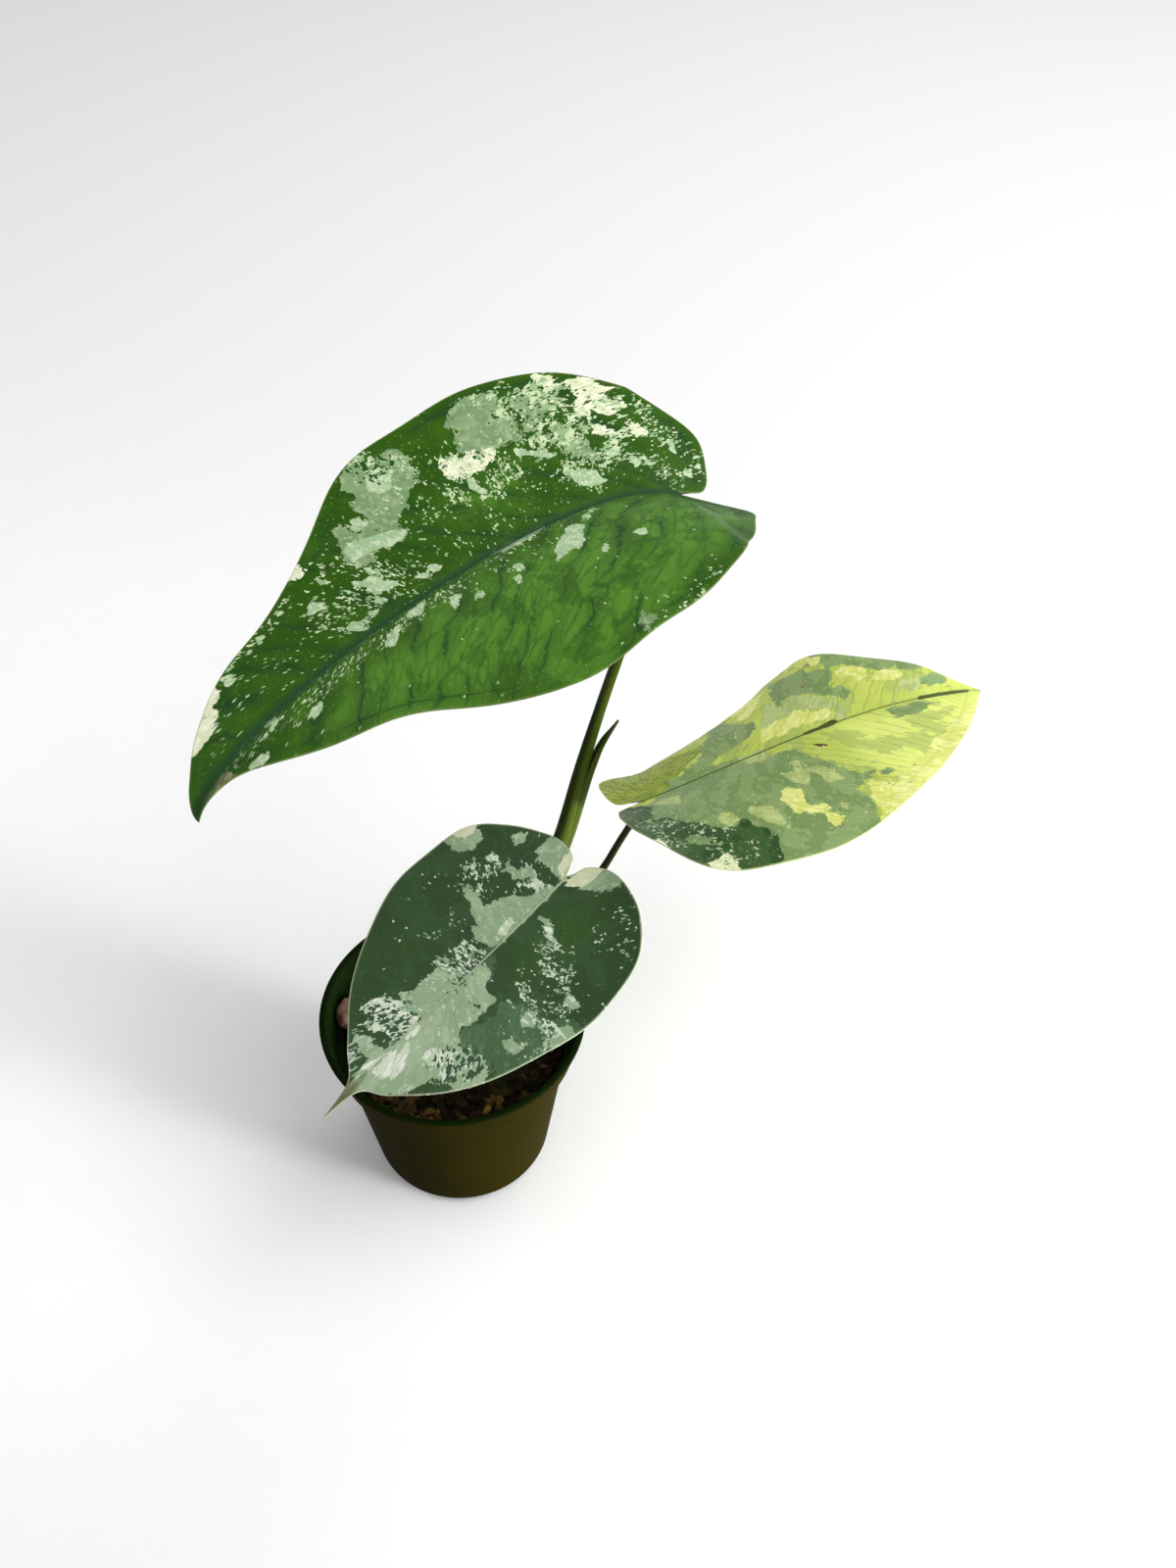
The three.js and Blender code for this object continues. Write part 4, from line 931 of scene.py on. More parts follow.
frontLook = {
    "sectors": [
        # painted sheen: greyer green standing in for the blade's reflection
        ("paintedSheen", "#4b6a46", "#5f7e59", 0.3, 0.2, 1.0),
        ("sage", "#9cb48e", "#c0d2b3", 0.35, 0.08, 0.8),
        ("white", "#ccd9bf", "#f0f5e6", 0.8, 0.05, 1.1),
        ("cream", "#e6e6c2", "#f8f8de", 0.6, 0.08, 0.6),
    ],
    "green": "#324e2b", "bright": "#395b22", "tone": "#3e5d38", "toneStrength": 0.5,
    "veinGreen": "#2a4626", "island": "#36563a", "speck": "#9bb494", "speckPale": "#dbe6d0",
    "netStrength": 0.25, "netWidth": 0.16, "fineStrength": 0.15, "spacing": leafFront["veins"]["spacing"],
    "lateralWidth": 0.9, "lateralStrength": 0.2, "between": 0.1, "wander": 6, "mottle": 0.35,
    "haloWidth": 2.5, "haloStrength": 0.1, "ragged": 5.5, "chunky": 7, "clumps": 0.5,
    "strokeTurn": 0.0, "dust": 0.35, "dustTone": "#8ba383",
    "band": "#4b6a48", "bandWidth": 2.0, "bandStrength": 0.2, "rib": "#bac5a3", "ribWidth": 0.75,
    "rim": "#c3c9ac", "rimWidth": 0.75, "rimStrength": 0.6, "tip": "#6b6846", "tipStrength": 0.85,
    "tipFrom": 0.9,
    "beneath": "#93ab88", "roughness": 0.4, "gloss": 0.3, "through": 0.15,
}

makeLeaf("leafUpper", "leaf_upper", leafUpper, leafMaterial("Waxy green leaf", upperLook))
makeLeaf("leafRight", "leaf_right", leafRight, leafMaterial("Lime leaf", rightLook))
makeLeaf("leafFront", "leaf_front", leafFront, leafMaterial("Dark green leaf", frontLook))

# Petioles and stem: bent rods along smooth curves, with a sheath on the tallest petiole

petiole = {
    "steps": 110, "sides": 28, "layers": ("share", "turn", "dry"),
    "channel": {"depth": 0.16, "width": 0.5, "rate": 4},    # along the upper side, none at the foot
    "joint": (1.5, 0.75),                                   # where it meets the midrib, along and below
}
petioleUpper = {
    "path": [(19.4, 12.9, 78), (23.6, 16.2, 92), (33.5, 22, 126), (43.6, 27.7, 160),
             (50.6, 35, 188), (58, 43, 213), (69.5, 49, 254), (79.4, 52.4, 292)],
    "radii": [(0, 5.6), (0.1, 4.3), (0.35, 3.1), (0.6, 2.1), (0.97, 1.7), (1, 1.1)],
    "leaf": leafUpper,
    "sheath": {
        "path": [(24.6, 16.8, 90), (35.6, 23.2, 126), (46, 28.4, 160), (54.2, 36.2, 189),
                 (58, 39.8, 197), (63.8, 42, 206.2)],
        "radii": [(0, 3.4), (0.5, 2.2), (0.85, 1.9), (0.93, 1.3), (1, 0.3)],
        "depth": 0.7, "wall": 0.45, "hug": 0.96, "across": 14, "steps": 90,
        "open": 118, "close": (40, 0.8, 0.2),       # degrees each way, fewer over the last fifth
        "dry": (0.93, 0.06),                        # where the tip turns dry
    },
}
petioleRight = {
    "path": [(17.8, 13, 73), (25.4, 17.6, 82), (38, 24.5, 100), (51, 31, 120), (59.3, 34.4, 133),
             (66.4, 37.4, 147.5), (72.6, 38.6, 160)],
    "radii": [(0, 4.2), (0.14, 2.7), (0.4, 1.9), (0.7, 1.4), (0.97, 1.35), (1, 0.9)],
    "leaf": leafRight,
}
petioleFront = {
    "path": [(18.8, 11, 78), (24.6, 7.2, 88), (34, 4.6, 109), (41, 2.6, 134), (43.6, 0.8, 156)],
    "radii": [(0, 4.1), (0.14, 2.7), (0.4, 2), (0.7, 1.6), (0.97, 1.5), (1, 1)],
    "leaf": leafFront,
}
stem = {
    "path": [(12.3, 8.6, 44), (15.5, 10.2, 62), (18.7, 12.6, 77), (21.6, 14.6, 90)],
    "footRadius": 5.2, "topRadius": 4.3, "rings": [(0.3, 0.25), (0.47, 0.3), (0.62, 0.45), (0.8, 0.3)],
    "ringWidth": 0.025, "ringLean": (0.012, 9), "end": (0.5, 0.97, 0.03),      # shares of the length
    "steps": 120, "sides": 36,
}


def smoothCurve(points, count):
    # a smooth curve through the points, cut into equal lengths
    places = [np.array(p, float) for p in points]
    places = [2 * places[0] - places[1], *places, 2 * places[-1] - places[-2]]
    curve = []
    for a, b, c, d in zip(places, places[1:], places[2:], places[3:]):
        ab, bc, cd = (math.sqrt(np.linalg.norm(q - p)) for p, q in ((a, b), (b, c), (c, d)))
        leave = ((b - a) / ab - (c - a) / (ab + bc) + (c - b) / bc) * bc
        arrive = ((c - b) / bc - (d - b) / (bc + cd) + (d - c) / cd) * bc
        t = np.linspace(0, 1, 60)[:, None]
        curve.append(b + leave * t + (3 * (c - b) - 2 * leave - arrive) * t ** 2
                     + (2 * (b - c) + leave + arrive) * t ** 3)
    curve = np.concatenate(curve)
    reach = np.concatenate([[0], np.cumsum(np.linalg.norm(np.diff(curve, axis=0), axis=1))])
    even = np.linspace(0, reach[-1], count + 1)
    return np.stack([np.interp(even, reach, curve[:, k]) for k in range(3)], -1), reach[-1]


def rodFrames(points):
    forward = np.gradient(points, axis=0)
    forward /= np.linalg.norm(forward, axis=1, keepdims=True)
    upper = np.array([0, 0, 1.0]) - forward * forward[:, 2:3]
    upper /= np.linalg.norm(upper, axis=1, keepdims=True)
    return forward, upper, np.cross(forward, upper)


def makeRod(points, radiusAt, sides):
    # a closed round rod; radiusAt gives the radius for a share of the length and an angle
    bm = bmesh.new()
    for key in petiole["layers"]:
        bm.verts.layers.float.new(key)
    shareOf, turnOf = bm.verts.layers.float["share"], bm.verts.layers.float["turn"]
    steps = len(points) - 1
    _, upper, sideways = rodFrames(points)
    bmesh.ops.create_cone(
        bm, cap_ends=True, cap_tris=False, segments=sides, radius1=1, radius2=1, depth=2)
    upright = [edge for edge in bm.edges if abs(edge.verts[0].co.z - edge.verts[1].co.z) > 1]
    bmesh.ops.subdivide_edges(bm, edges=upright, cuts=steps - 1, use_grid_fill=True)
    for vert in bm.verts:
        step = round((vert.co.z + 1) / 2 * steps)
        turn = math.atan2(vert.co.y, vert.co.x)
        offset = sideways[step] * math.cos(turn) + upper[step] * math.sin(turn)
        vert[shareOf], vert[turnOf] = step / steps, math.cos(turn)
        vert.co = points[step] + offset * radiusAt(step / steps, turn)
    return bm


def addSheath(bm, sheath, petiolePoints):
    # a thin half tube that hugs the petiole and runs out into a free, folded point
    steps = sheath["steps"]
    points, _ = smoothCurve(sheath["path"], steps)
    forward = rodFrames(points)[0]
    ends, sizes = zip(*sheath["radii"])
    layers = bm.verts.layers.float
    shareOf, turnOf, dryOf = (layers[key] for key in petiole["layers"])
    closing, closeFrom, closeLength = sheath["close"]
    dryFrom, dryLength = sheath["dry"]
    grid = bmesh.ops.create_grid(bm, x_segments=sheath["across"], y_segments=steps, size=1)["verts"]
    for vert in grid:
        step = round((vert.co.y + 1) * steps / 2)
        near = petiolePoints[np.argmin(np.linalg.norm(petiolePoints - points[step], axis=1))]
        away = points[step] - near
        away -= forward[step] * float(away @ forward[step])
        away /= np.linalg.norm(away)
        flank = np.cross(forward[step], away)
        share = step / steps
        radius = float(np.interp(share, ends, sizes))
        angle = vert.co.x * math.radians(
            sheath["open"] - closing * max(0, share - closeFrom) / closeLength)
        vert[shareOf], vert[turnOf] = share, 1.0
        vert[dryOf] = min(1, max(0, (share - dryFrom) / dryLength))
        vert.co = (points[step] + away * (radius * math.cos(angle) * sheath["hug"])
                   + flank * (radius * sheath["depth"] * math.sin(angle)))
    faces = list(dict.fromkeys(face for vert in grid for face in vert.link_faces))
    bmesh.ops.recalc_face_normals(bm, faces=faces)
    bmesh.ops.solidify(bm, geom=faces, thickness=sheath["wall"])


def makePetiole(name, node, spec, material):
    along, below = petiole["joint"]
    base, facing = bladeSurface(spec["leaf"], np.array([along]), np.array([0.0]))
    tip = base[0] - facing[0] * (blade["thickness"] / 2 + below)
    points, length = smoothCurve([*spec["path"], tip], petiole["steps"])
    ends, sizes = zip(*spec["radii"])
    channel = petiole["channel"]

    def radiusAt(share, turn):
        sunk = channel["depth"] * math.exp(-((turn - math.pi / 2) / channel["width"]) ** 2)
        return float(np.interp(share, ends, sizes)) * (1 - sunk * min(1, channel["rate"] * share))

    bm = makeRod(points, radiusAt, petiole["sides"])
    if "sheath" in spec:
        addSheath(bm, spec["sheath"], points)
    bmesh.ops.recalc_face_normals(bm, faces=bm.faces)
    meshPiece(name, bm, material, node)
    print("petiole made:", name, round(length), "mm long")


def stemRadius(share, turn):
    radius = stem["footRadius"] + (stem["topRadius"] - stem["footRadius"]) * share
    lean, waves = stem["ringLean"]
    for at, rise in stem["rings"]:
        leant = at + lean * math.sin(turn + at * waves)
        radius += rise * math.exp(-((share - leant) / stem["ringWidth"]) ** 2)
    drop, endFrom, endLength = stem["end"]
    return radius - drop * max(0, (share - endFrom) / endLength)


# Petiole and stem skin: smooth, slightly waxy green skin, streaked along its length

def skinMaterial(name, look):
    material, add = newMaterial(name)
    where = add("TexCoord").outputs["Object"]
    turn, dry = (add("Attribute", attribute_name=key).outputs["Fac"] for key in ("turn", "dry"))
    streakPlace = add("Mapping", {"Vector": where, "Scale": (1500, 1500, 90)})
    streak = add("TexNoise", {"Vector": streakPlace, "Scale": 1.0, "Detail": 3.0})
    colour = add("MixRGB", (add("MapRange", (streak, 0.35, 0.7)), look["dark"], look["mid"]))
    stripe = add("MapRange", (turn, look["stripeFrom"], look["stripeTo"]), **eased)
    colour = add("MixRGB", (stripe, colour, look["stripe"]))
    colour = add("MixRGB", (dry, colour, look["dry"]))
    skin = add("BsdfPrincipled", {
        "Base Color": colour, "Roughness": look["roughness"], "IOR": 1.45, "Specular IOR Level": 0.06,
        "Normal": add("Bump", {"Height": streak, "Strength": 0.25, "Distance": 0.0002}),
    })
    add("OutputMaterial", {"Surface": skin})
    return material


petioleSkin = skinMaterial("Waxy petiole skin", {
    "dark": "#1e2607", "mid": "#2b350c", "stripe": "#3d4a14", "dry": "#5a4c2c",
    "stripeFrom": 0.1, "stripeTo": 0.75, "roughness": 0.42,
})
makePetiole("petioleUpper", "petiole_upper", petioleUpper, petioleSkin)
# a darker copy of the petiole skin: painted shade for the right and front petioles, which stand in shadow
shadedPetioleSkin = skinMaterial("Petiole skin with painted shade", {
    "dark": "#0e1104", "mid": "#171b07", "stripe": "#20260b", "dry": "#5a4c2c",
    "stripeFrom": 0.1, "stripeTo": 0.75, "roughness": 0.42,
})
makePetiole("petioleRight", "petiole_right", petioleRight, shadedPetioleSkin)
makePetiole("petioleFront", "petiole_front", petioleFront, shadedPetioleSkin)

stemBm = makeRod(smoothCurve(stem["path"], stem["steps"])[0], stemRadius, stem["sides"])
bmesh.ops.recalc_face_normals(stemBm, faces=stemBm.faces)
meshPiece("stem", stemBm, skinMaterial("Ringed stem skin", {
    "dark": "#3a4218", "mid": "#566126", "stripe": "#4c5822", "dry": "#6b5a3a",
    "stripeFrom": 0.4, "stripeTo": 1.0, "roughness": 0.5,
}), "stem")
print("stem made")

# Nursery pot: a spun wall with a rolled lip, a deep collar, soft corners and drainage holes

pot = {
    "height": 86, "collarHeight": 15, "bodyTop": 45.7, "base": 35.5, "flat": 18,
    "corner": 6, "wall": 1.25, "floor": 1.5, "turns": 180,
    "outer": [(38.5, 21), (41.4, 41), (44.1, 60), (45.55, 69.6), (45.75, 70.2), (46.25, 70.55),
              (47.9, 70.85), (48.4, 71.0), (48.66, 71.3), (48.78, 71.8), (49.3, 74.8), (50.1, 79.4),
              (50.85, 83.6), (50.98, 84.15), (51.3, 84.42), (51.9, 84.48), (52.25, 84.62), (52.46, 84.9),
              (52.5, 85.2), (52.42, 85.55), (52.2, 85.8), (51.85, 85.95), (51.4, 86)],
    "inner": [(40.2, 41), (42.9, 60), (44.3, 70.2), (44.42, 71.1), (44.9, 71.55), (46.7, 71.95),
              (47.2, 72.2), (47.42, 72.7), (48.1, 76.5), (48.9, 81.2), (49.5, 85.0), (49.66, 85.6),
              (49.95, 85.9), (50.4, 86)],
    "lipPlaces": 4,     # the outer profile's last places have the inside's colour
    "holeRadius": 4, "holeCircle": 24, "holes": 6, "holeSides": 40, "holeDepth": 8,
}


def potCorner(size, inset, floor, steps):
    # the soft corner between the pot's floor and its sloping wall
    slope = (pot["bodyTop"] - pot["base"]) / (pot["height"] - pot["collarHeight"])
    for step in range(steps + 1):
        turn = step / steps * math.pi / 2
        height = floor + size * (1 - math.cos(turn))
        yield (pot["base"] + slope * height - inset - size * (1 - math.sin(turn)), height)


potBm = bmesh.new()
innerOf = potBm.verts.layers.float.new("inner")
outer = [(0, 0), (pot["flat"], 0), *potCorner(pot["corner"], 0, 0, 10), *pot["outer"]]
inner = [(0, pot["floor"]), (pot["flat"], pot["floor"]),
         *potCorner(pot["corner"] - pot["wall"], pot["wall"], pot["floor"], 8), *pot["inner"]]
profile = []
for index, (radius, height) in enumerate(outer + inner[::-1]):
    vert = potBm.verts.new((radius, 0, height))
    vert[innerOf] = 1.0 if index > len(outer) - pot["lipPlaces"] else 0.0
    profile.append(vert)
profileEdges = [potBm.edges.new(pair) for pair in zip(profile, profile[1:])]
bmesh.ops.spin(
    potBm, geom=profile + profileEdges, cent=(0, 0, 0), axis=(0, 0, 1), dvec=(0, 0, 0),
    angle=2 * math.pi, steps=pot["turns"], use_merge=True, use_normal_flip=False, use_duplicate=False)
bmesh.ops.remove_doubles(potBm, verts=potBm.verts, dist=0.001)
bmesh.ops.recalc_face_normals(potBm, faces=potBm.faces)

# Pot plastic: moulded polypropylene with a fine satin grain, olive brown outside and green inside
potMaterial, add = newMaterial("Moulded polypropylene")
where = add("TexCoord").outputs["Object"]
grain = add("TexNoise", {"Vector": where, "Scale": 1600.0, "Detail": 2.0})
cloud = add("TexNoise", {"Vector": where, "Scale": 45.0, "Detail": 5.0})
inside = add("Attribute", attribute_name="inner").outputs["Fac"]
skin = add("BsdfPrincipled", {
    "Base Color": add("MixRGB", (inside, add("MixRGB", (cloud, "#191601", "#221e02")), "#0f1b07")),
    "Roughness": add("MapRange", {"Value": cloud, "To Min": 0.38, "To Max": 0.56}),
    "Normal": add("Bump", {"Height": grain, "Strength": 0.12, "Distance": 0.0001}),
    "IOR": 1.49, "Specular IOR Level": 0.003,
})
add("OutputMaterial", {"Surface": skin})
potPiece = meshPiece("pot", potBm, potMaterial, "pot")

holeBm = bmesh.new()
for index in range(pot["holes"]):
    turn = 2 * math.pi * index / pot["holes"]
    spot = Matrix.Translation((pot["holeCircle"] * math.cos(turn), pot["holeCircle"] * math.sin(turn), 0))
    bmesh.ops.create_cone(holeBm, cap_ends=True, segments=pot["holeSides"], radius1=pot["holeRadius"],
                          radius2=pot["holeRadius"], depth=pot["holeDepth"], matrix=spot)
bmesh.ops.transform(holeBm, matrix=Matrix.Scale(mm, 4), verts=holeBm.verts)
holeMesh = bpy.data.meshes.new("holes")
holeBm.to_mesh(holeMesh)
holeBm.free()
holeCutter = bpy.data.objects.new("holes", holeMesh)
bpy.context.scene.collection.objects.link(holeCutter)
cut = potPiece.modifiers.new("drainage", "BOOLEAN")
cut.operation = "DIFFERENCE"
cut.solver = "EXACT"
cut.object = holeCutter
drained = bpy.data.meshes.new_from_object(potPiece.evaluated_get(bpy.context.evaluated_depsgraph_get()))
potPiece.modifiers.clear()
potPiece.data = drained
bpy.data.objects.remove(holeCutter)
print("pot made")

# Bark mix: a rough bed with chips of many sizes lying on it, all inside the pot's wall

mix = {
    "level": 68.5, "bumps": 1.6, "edge": 43.6, "edgeFade": 4, "top": 72.3,
    "rings": 60, "spokes": 200, "grain": 0.55, "grainScale": 0.45, "bedTone": 0.12,
    "foot": [(35.4, 9.5), (34.4, 5.2), (32.6, 2.9), (29.6, 1.8)],   # rings below the bed: radius, height
    "wallReach": {"at": 43.4, "slope": 0.1437, "collar": 71.2, "above": 46.6},
    "seed": 11, "bevel": 0.13,
    "chips": 54, "chipReach": 44.4, "chipTurn": 137.5, "chipLean": 1.1, "chipRagged": 0.22,
    "chipLength": (6, 13), "chipShape": (0.86, 0.5, 0.34),
    "bits": 720, "bitReach": 43.2, "bitLean": 0.7, "bitRagged": 0.25, "bitRise": (0.1, 1.6),
    "bitLength": (1.6, 5.5), "bitWidth": (0.4, 0.8), "bitDepth": (0.25, 0.5),
    "tanSpots": [(-21, -35), (-12, -38), (-5, -38), (-27, -30), (16, -33), (-33, -20), (36, 12), (4, 33)],
    "tanChips": 9, "tanSpread": (4, 2.5), "tanLean": 0.8, "tanRagged": 0.3, "tanRise": (1, 2.4),
    "tanLength": (1.8, 4.6), "tanShape": (1, 0.5, 0.4),
    "chipTone": (0.3, 1), "tanTone": (0.78, 1),
}


def mixHeight(x, y):
    wide = math.sin(0.17 * x + 1.1) * math.cos(0.21 * y - 0.4)
    narrow = math.sin(0.52 * x + 0.31 * y) * math.cos(0.47 * y - 0.12 * x)
    return mix["level"] + mix["bumps"] * (0.6 * wide + 0.4 * narrow)


def wallReach(height):
    # the widest radius that the mix may have at a height
    wall = mix["wallReach"]
    return wall["at"] + wall["slope"] * (height - mix["level"]) if height < wall["collar"] else wall["above"]


def keepInside(place, limit):
    reach = math.hypot(place.x, place.y)
    if reach > limit:
        place.x *= limit / reach
        place.y *= limit / reach


def addChip(size, turn, spot, tone, ragged):
    chip = bmesh.new()
    toneOf = chip.verts.layers.float.new("tone")
    bmesh.ops.create_cube(chip, size=1)
    for vert in chip.verts:
        vert.co = [c * (1 + chance.uniform(-ragged, ragged)) for c in vert.co]
    bmesh.ops.bevel(chip, geom=chip.edges[:], offset=mix["bevel"], affect="EDGES", segments=1, profile=0.5,
                    material=-1)
    place = Matrix.Translation(spot) @ turn @ Matrix.Diagonal((*size, 1))
    bmesh.ops.transform(chip, matrix=place, verts=chip.verts)
    for vert in chip.verts:
        vert[toneOf] = tone
        keepInside(vert.co, wallReach(vert.co.z))
        vert.co.z = min(vert.co.z, mix["top"])
    chip.to_mesh(chipMesh)
    chip.free()
    mixBm.from_mesh(chipMesh)


chance = random.Random(mix["seed"])
chipMesh = bpy.data.meshes.new("chip")
mixBm = bmesh.new()
toneLayer = mixBm.verts.layers.float.new("tone")
bmesh.ops.create_grid(mixBm, x_segments=mix["rings"], y_segments=mix["spokes"], size=1)
for vert in mixBm.verts:
    radius = (vert.co.x + 1) / 2 * mix["edge"]
    turn = (vert.co.y + 1) * math.pi
    x, y = radius * math.cos(turn), radius * math.sin(turn)
    fade = min(1, (mix["edge"] - radius) / mix["edgeFade"])
    bump = noise.fractal(Vector((x, y, 3)) * mix["grainScale"], 0.7, 2.1, 4) * mix["grain"]
    vert.co = (x, y, mix["level"] + (mixHeight(x, y) - mix["level"] + bump) * fade)
    vert[toneLayer] = mix["bedTone"]
bmesh.ops.remove_doubles(mixBm, verts=mixBm.verts, dist=0.01)
rim = [edge for edge in mixBm.edges if edge.is_boundary]
for radius, height in mix["foot"]:
    lowered = bmesh.ops.extrude_edge_only(mixBm, edges=rim)["geom"]
    rim = [item for item in lowered if isinstance(item, bmesh.types.BMEdge)]
    for vert in (item for item in lowered if isinstance(item, bmesh.types.BMVert)):
        reach = math.hypot(vert.co.x, vert.co.y)
        vert.co = (vert.co.x * radius / reach, vert.co.y * radius / reach, height)
bmesh.ops.holes_fill(mixBm, edges=rim, sides=0)
bmesh.ops.recalc_face_normals(mixBm, faces=mixBm.faces)

for index in range(mix["chips"]):
    radius = mix["chipReach"] * math.sqrt((index + 0.5) / mix["chips"])
    turn = math.radians(mix["chipTurn"]) * index + chance.random() * 0.5
    shortest, longest = mix["chipLength"]
    length = shortest + (longest - shortest) * chance.random() ** 1.6
    squeeze = 0.75 + 0.5 * chance.random()
    lean = (Matrix.Rotation(chance.random() * math.pi, 4, "Z")
            @ Matrix.Rotation((chance.random() - 0.5) * mix["chipLean"], 4, "Y")
            @ Matrix.Rotation((chance.random() - 0.5) * mix["chipLean"], 4, "X"))
    x, y = radius * math.cos(turn), radius * math.sin(turn)
    rest = mixHeight(x, y) + 0.4 - 1.2 * chance.random()
    long, wide, deep = mix["chipShape"]
    addChip((length * long, length * wide * squeeze, length * deep), lean, (x, y, rest),
            chance.uniform(*mix["chipTone"]), mix["chipRagged"])
for index in range(mix["bits"]):
    radius = mix["bitReach"] * math.sqrt(chance.random())
    turn = chance.uniform(0, 2 * math.pi)
    shortest, longest = mix["bitLength"]
    length = shortest + (longest - shortest) * chance.random() ** 2
    lean = (Matrix.Rotation(chance.uniform(0, math.pi), 4, "Z")
            @ Matrix.Rotation(chance.uniform(-mix["bitLean"], mix["bitLean"]), 4, "Y")
            @ Matrix.Rotation(chance.uniform(-mix["bitLean"], mix["bitLean"]), 4, "X"))
    x, y = radius * math.cos(turn), radius * math.sin(turn)
    rest = mixHeight(x, y) + chance.uniform(*mix["bitRise"])
    size = (length, length * chance.uniform(*mix["bitWidth"]), length * chance.uniform(*mix["bitDepth"]))
    addChip(size, lean, (x, y, rest), chance.random(), mix["bitRagged"])
acrossSpread, alongSpread = mix["tanSpread"]
for x, y in mix["tanSpots"]:
    for index in range(mix["tanChips"]):
        lean = (Matrix.Rotation(chance.uniform(0, math.pi), 4, "Z")
                @ Matrix.Rotation(chance.uniform(-mix["tanLean"], mix["tanLean"]), 4, "X"))
        length = chance.uniform(*mix["tanLength"])
        spot = (x + chance.uniform(-acrossSpread, acrossSpread),
                y + chance.uniform(-alongSpread, alongSpread),
                mixHeight(x, y) + chance.uniform(*mix["tanRise"]))
        addChip([length * share for share in mix["tanShape"]], lean, spot,
                chance.uniform(*mix["tanTone"]), mix["tanRagged"])
bpy.data.meshes.remove(chipMesh)

# Bark mix: dry composted bark, dark between orange-brown chips, quite matte
mixMaterial, add = newMaterial("Composted bark")
where = add("TexCoord").outputs["Object"]
grain, patch, film = (
    add("TexNoise", {"Vector": where, "Scale": scale, "Detail": detail})
    for scale, detail in ((900.0, 5.0), (160.0, 3.0), (70.0, 3.0)))
ramp = add("ValToRGB", {"Fac": add("Attribute", attribute_name="tone").outputs["Fac"]})
stops = ramp.color_ramp.elements
for position, shade in ((0.35, "#150e06"), (0.7, "#2b210f"), (0.9, "#4c3b1b")):
    stops.new(position).color = hexColour(shade)
stops[0].color = hexColour("#100b06")
stops[-1].color = hexColour("#7c5a2c")
colour = add("MixRGB", (add("MapRange", (patch, 0.35, 0.65, 0.0, 0.6)), ramp, "#1a1109"))
# a thin film of green algae on some of the chips
colour = add("MixRGB", (add("MapRange", (film, 0.5, 0.62, 0.0, 0.45)), colour, "#1c2409"))
skin = add("BsdfPrincipled", {
    "Base Color": colour, "Roughness": 0.88, "Specular IOR Level": 0.08,
    "Normal": add("Bump", {"Height": grain, "Strength": 0.7, "Distance": 0.0006}),
})
add("OutputMaterial", {"Surface": skin})
meshPiece("barkMix", mixBm, mixMaterial, "potting_mix", smooth=False)
print("bark mix made")

# Pale nugget of bark against the wall: dry, weathered and matte, with pinkish brown clouds
nugget = {
    "centre": (-40.2, 6.5, 74.6), "size": (15, 14.5, 10), "lean": 12, "rough": 0.05,
    "wall": {"at": 47.0, "slope": 0.16, "height": 72},
}
nuggetBm = bmesh.new()
bmesh.ops.create_icosphere(nuggetBm, subdivisions=5, radius=0.5)
nuggetTurn = Matrix.Rotation(math.radians(nugget["lean"]), 4, "Y")
for vert in nuggetBm.verts:
    x, y, z = vert.co
    knob = 0.98 + 0.1 * math.sin(x * 9 + 1) * math.cos(y * 11)
    knob += nugget["rough"] * noise.fractal(vert.co * 6, 0.8, 2.2, 5)
    place = nuggetTurn @ Vector((x * nugget["size"][0] * knob, y * nugget["size"][1] * knob,
                                 z * nugget["size"][2] * knob)) + Vector(nugget["centre"])
    keepInside(place, nugget["wall"]["at"] + nugget["wall"]["slope"] * (place.z - nugget["wall"]["height"]))
    vert.co = place
nuggetMaterial, add = newMaterial("Pale weathered bark")
cloud = add("TexNoise", {"Vector": add("TexCoord").outputs["Object"], "Scale": 260.0, "Detail": 6.0})
skin = add("BsdfPrincipled", {
    "Base Color": add("MixRGB", (add("MapRange", (cloud, 0.35, 0.65)), "#6a4a38", "#b08a70")),
    "Roughness": 0.85, "Normal": add("Bump", {"Height": cloud, "Strength": 0.7, "Distance": 0.0008}),
})
add("OutputMaterial", {"Surface": skin})
meshPiece("paleNugget", nuggetBm, nuggetMaterial, "mix_nugget")
print("nugget made")

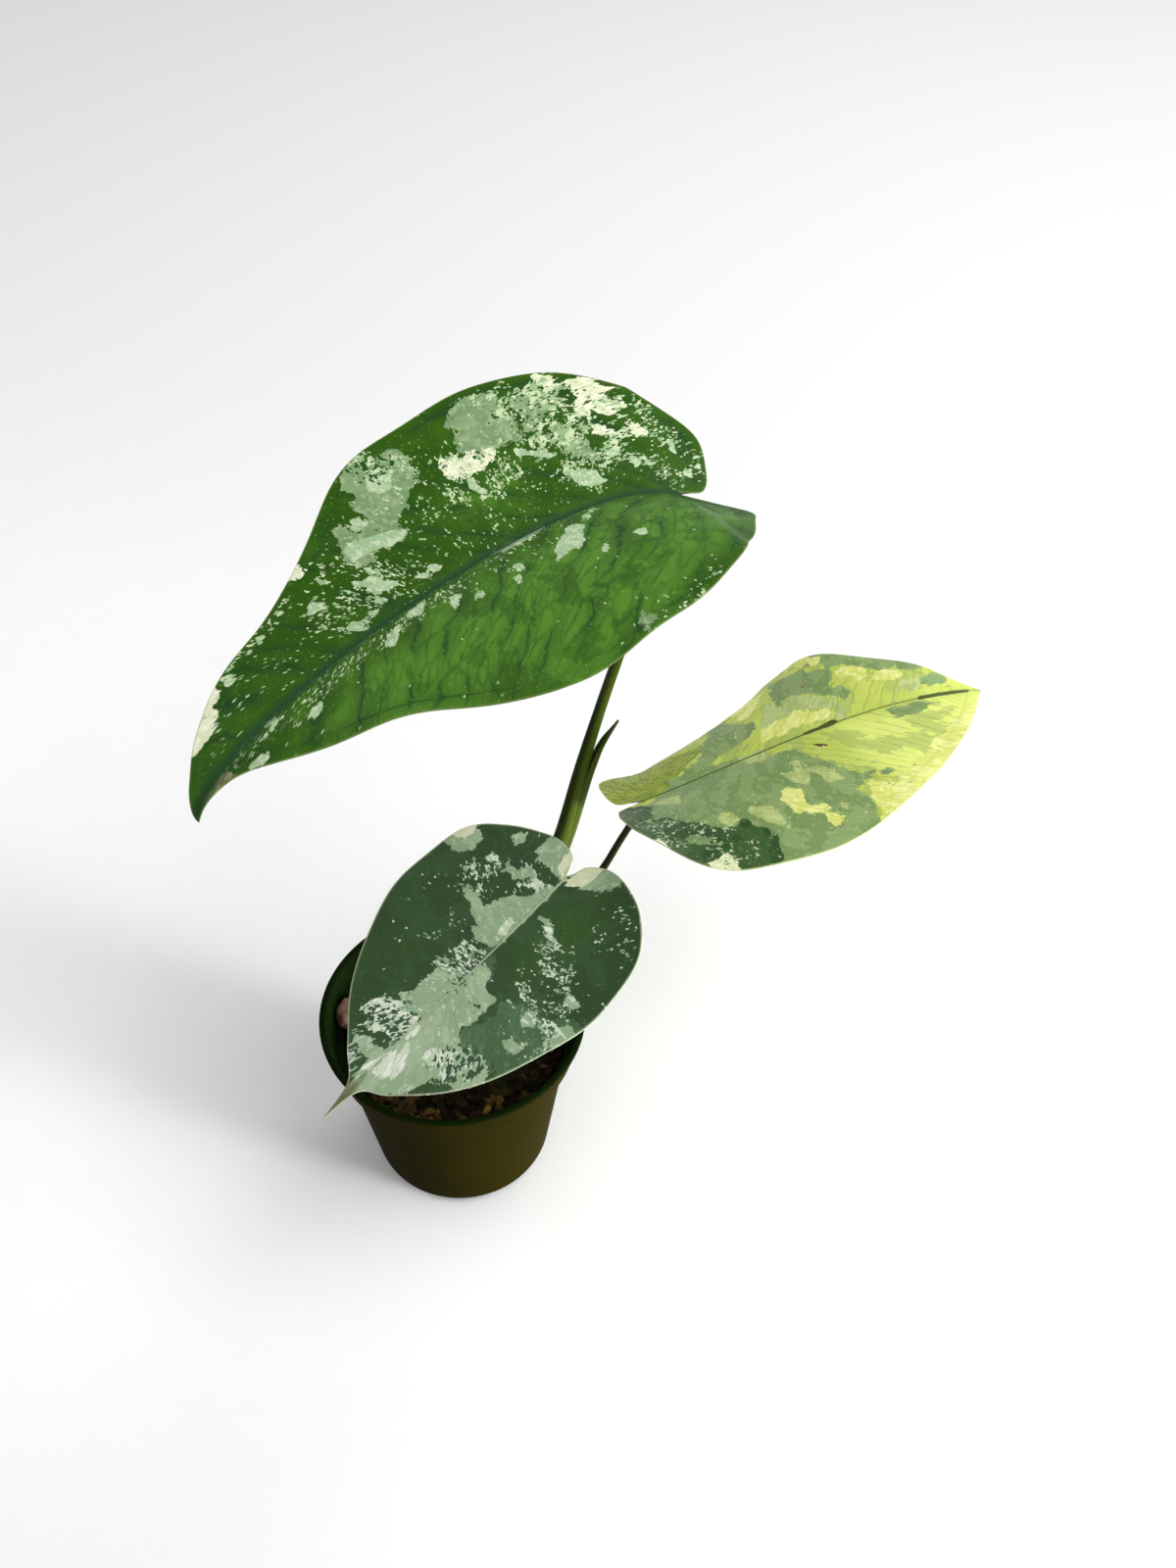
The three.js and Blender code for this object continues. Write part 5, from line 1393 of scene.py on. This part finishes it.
# Stage: a pale floor, soft light and the camera

camera = {"place": (0.0532, -0.4177, 0.6713), "down": 47.35, "lens": 41.625, "sensor": 36}
camData = bpy.data.cameras.new("camera")
camData.lens = camera["lens"]
camData.sensor_width = camera["sensor"]
camObject = bpy.data.objects.new("camera", camData)
camObject.location = camera["place"]
camObject.rotation_euler = (math.radians(90 - camera["down"]), 0, 0)
bpy.context.scene.collection.objects.link(camObject)
bpy.context.scene.camera = camObject

floorBm = bmesh.new()
bmesh.ops.create_grid(floorBm, x_segments=1, y_segments=1, size=4)
floorMesh = bpy.data.meshes.new("floor")
floorBm.to_mesh(floorMesh)
floorBm.free()
floor = bpy.data.objects.new("floor", floorMesh)
bpy.context.scene.collection.objects.link(floor)
floorMaterial, add = newMaterial("Pale studio floor")
skin = add("BsdfPrincipled", {"Base Color": "#eeeeee", "Roughness": 0.9})
add("OutputMaterial", {"Surface": skin})
floorMesh.materials.append(floorMaterial)

world = bpy.data.worlds.new("soft light")
world.use_nodes = True
sky = world.node_tree.nodes["Background"].inputs
sky["Color"].default_value = hexColour("#ffffff")
sky["Strength"].default_value = 0.5
bpy.context.scene.world = world

lights = {      # place, target, size, power and spread
    "key": ((0.75, -0.3, 1.5), (0.05, 0, 0.15), 1.0, 16.5, 180),
    "side": ((1.15, -0.45, 0.11), (0.03, 0, 0.03), 0.4, 1.4, 24),
    "back": ((0.75, 0.9, 1.1), (0.05, 0, 0.15), 0.8, 5.5, 180),
    "sheen": ((-1.25, 0.35, 1.35), (0, 0, 0.15), 0.5, 2.5, 180),
}
for name, (place, target, size, power, spread) in lights.items():
    data = bpy.data.lights.new(name, "AREA")
    data.shape = "DISK"
    data.size = size
    data.energy = power
    data.spread = math.radians(spread)
    light = bpy.data.objects.new(name, data)
    light.location = place
    direction = Vector(target) - Vector(place)
    light.rotation_euler = direction.to_track_quat("-Z", "Y").to_euler()
    bpy.context.scene.collection.objects.link(light)
bpy.context.scene.view_settings.view_transform = "Standard"
print("stage ready")
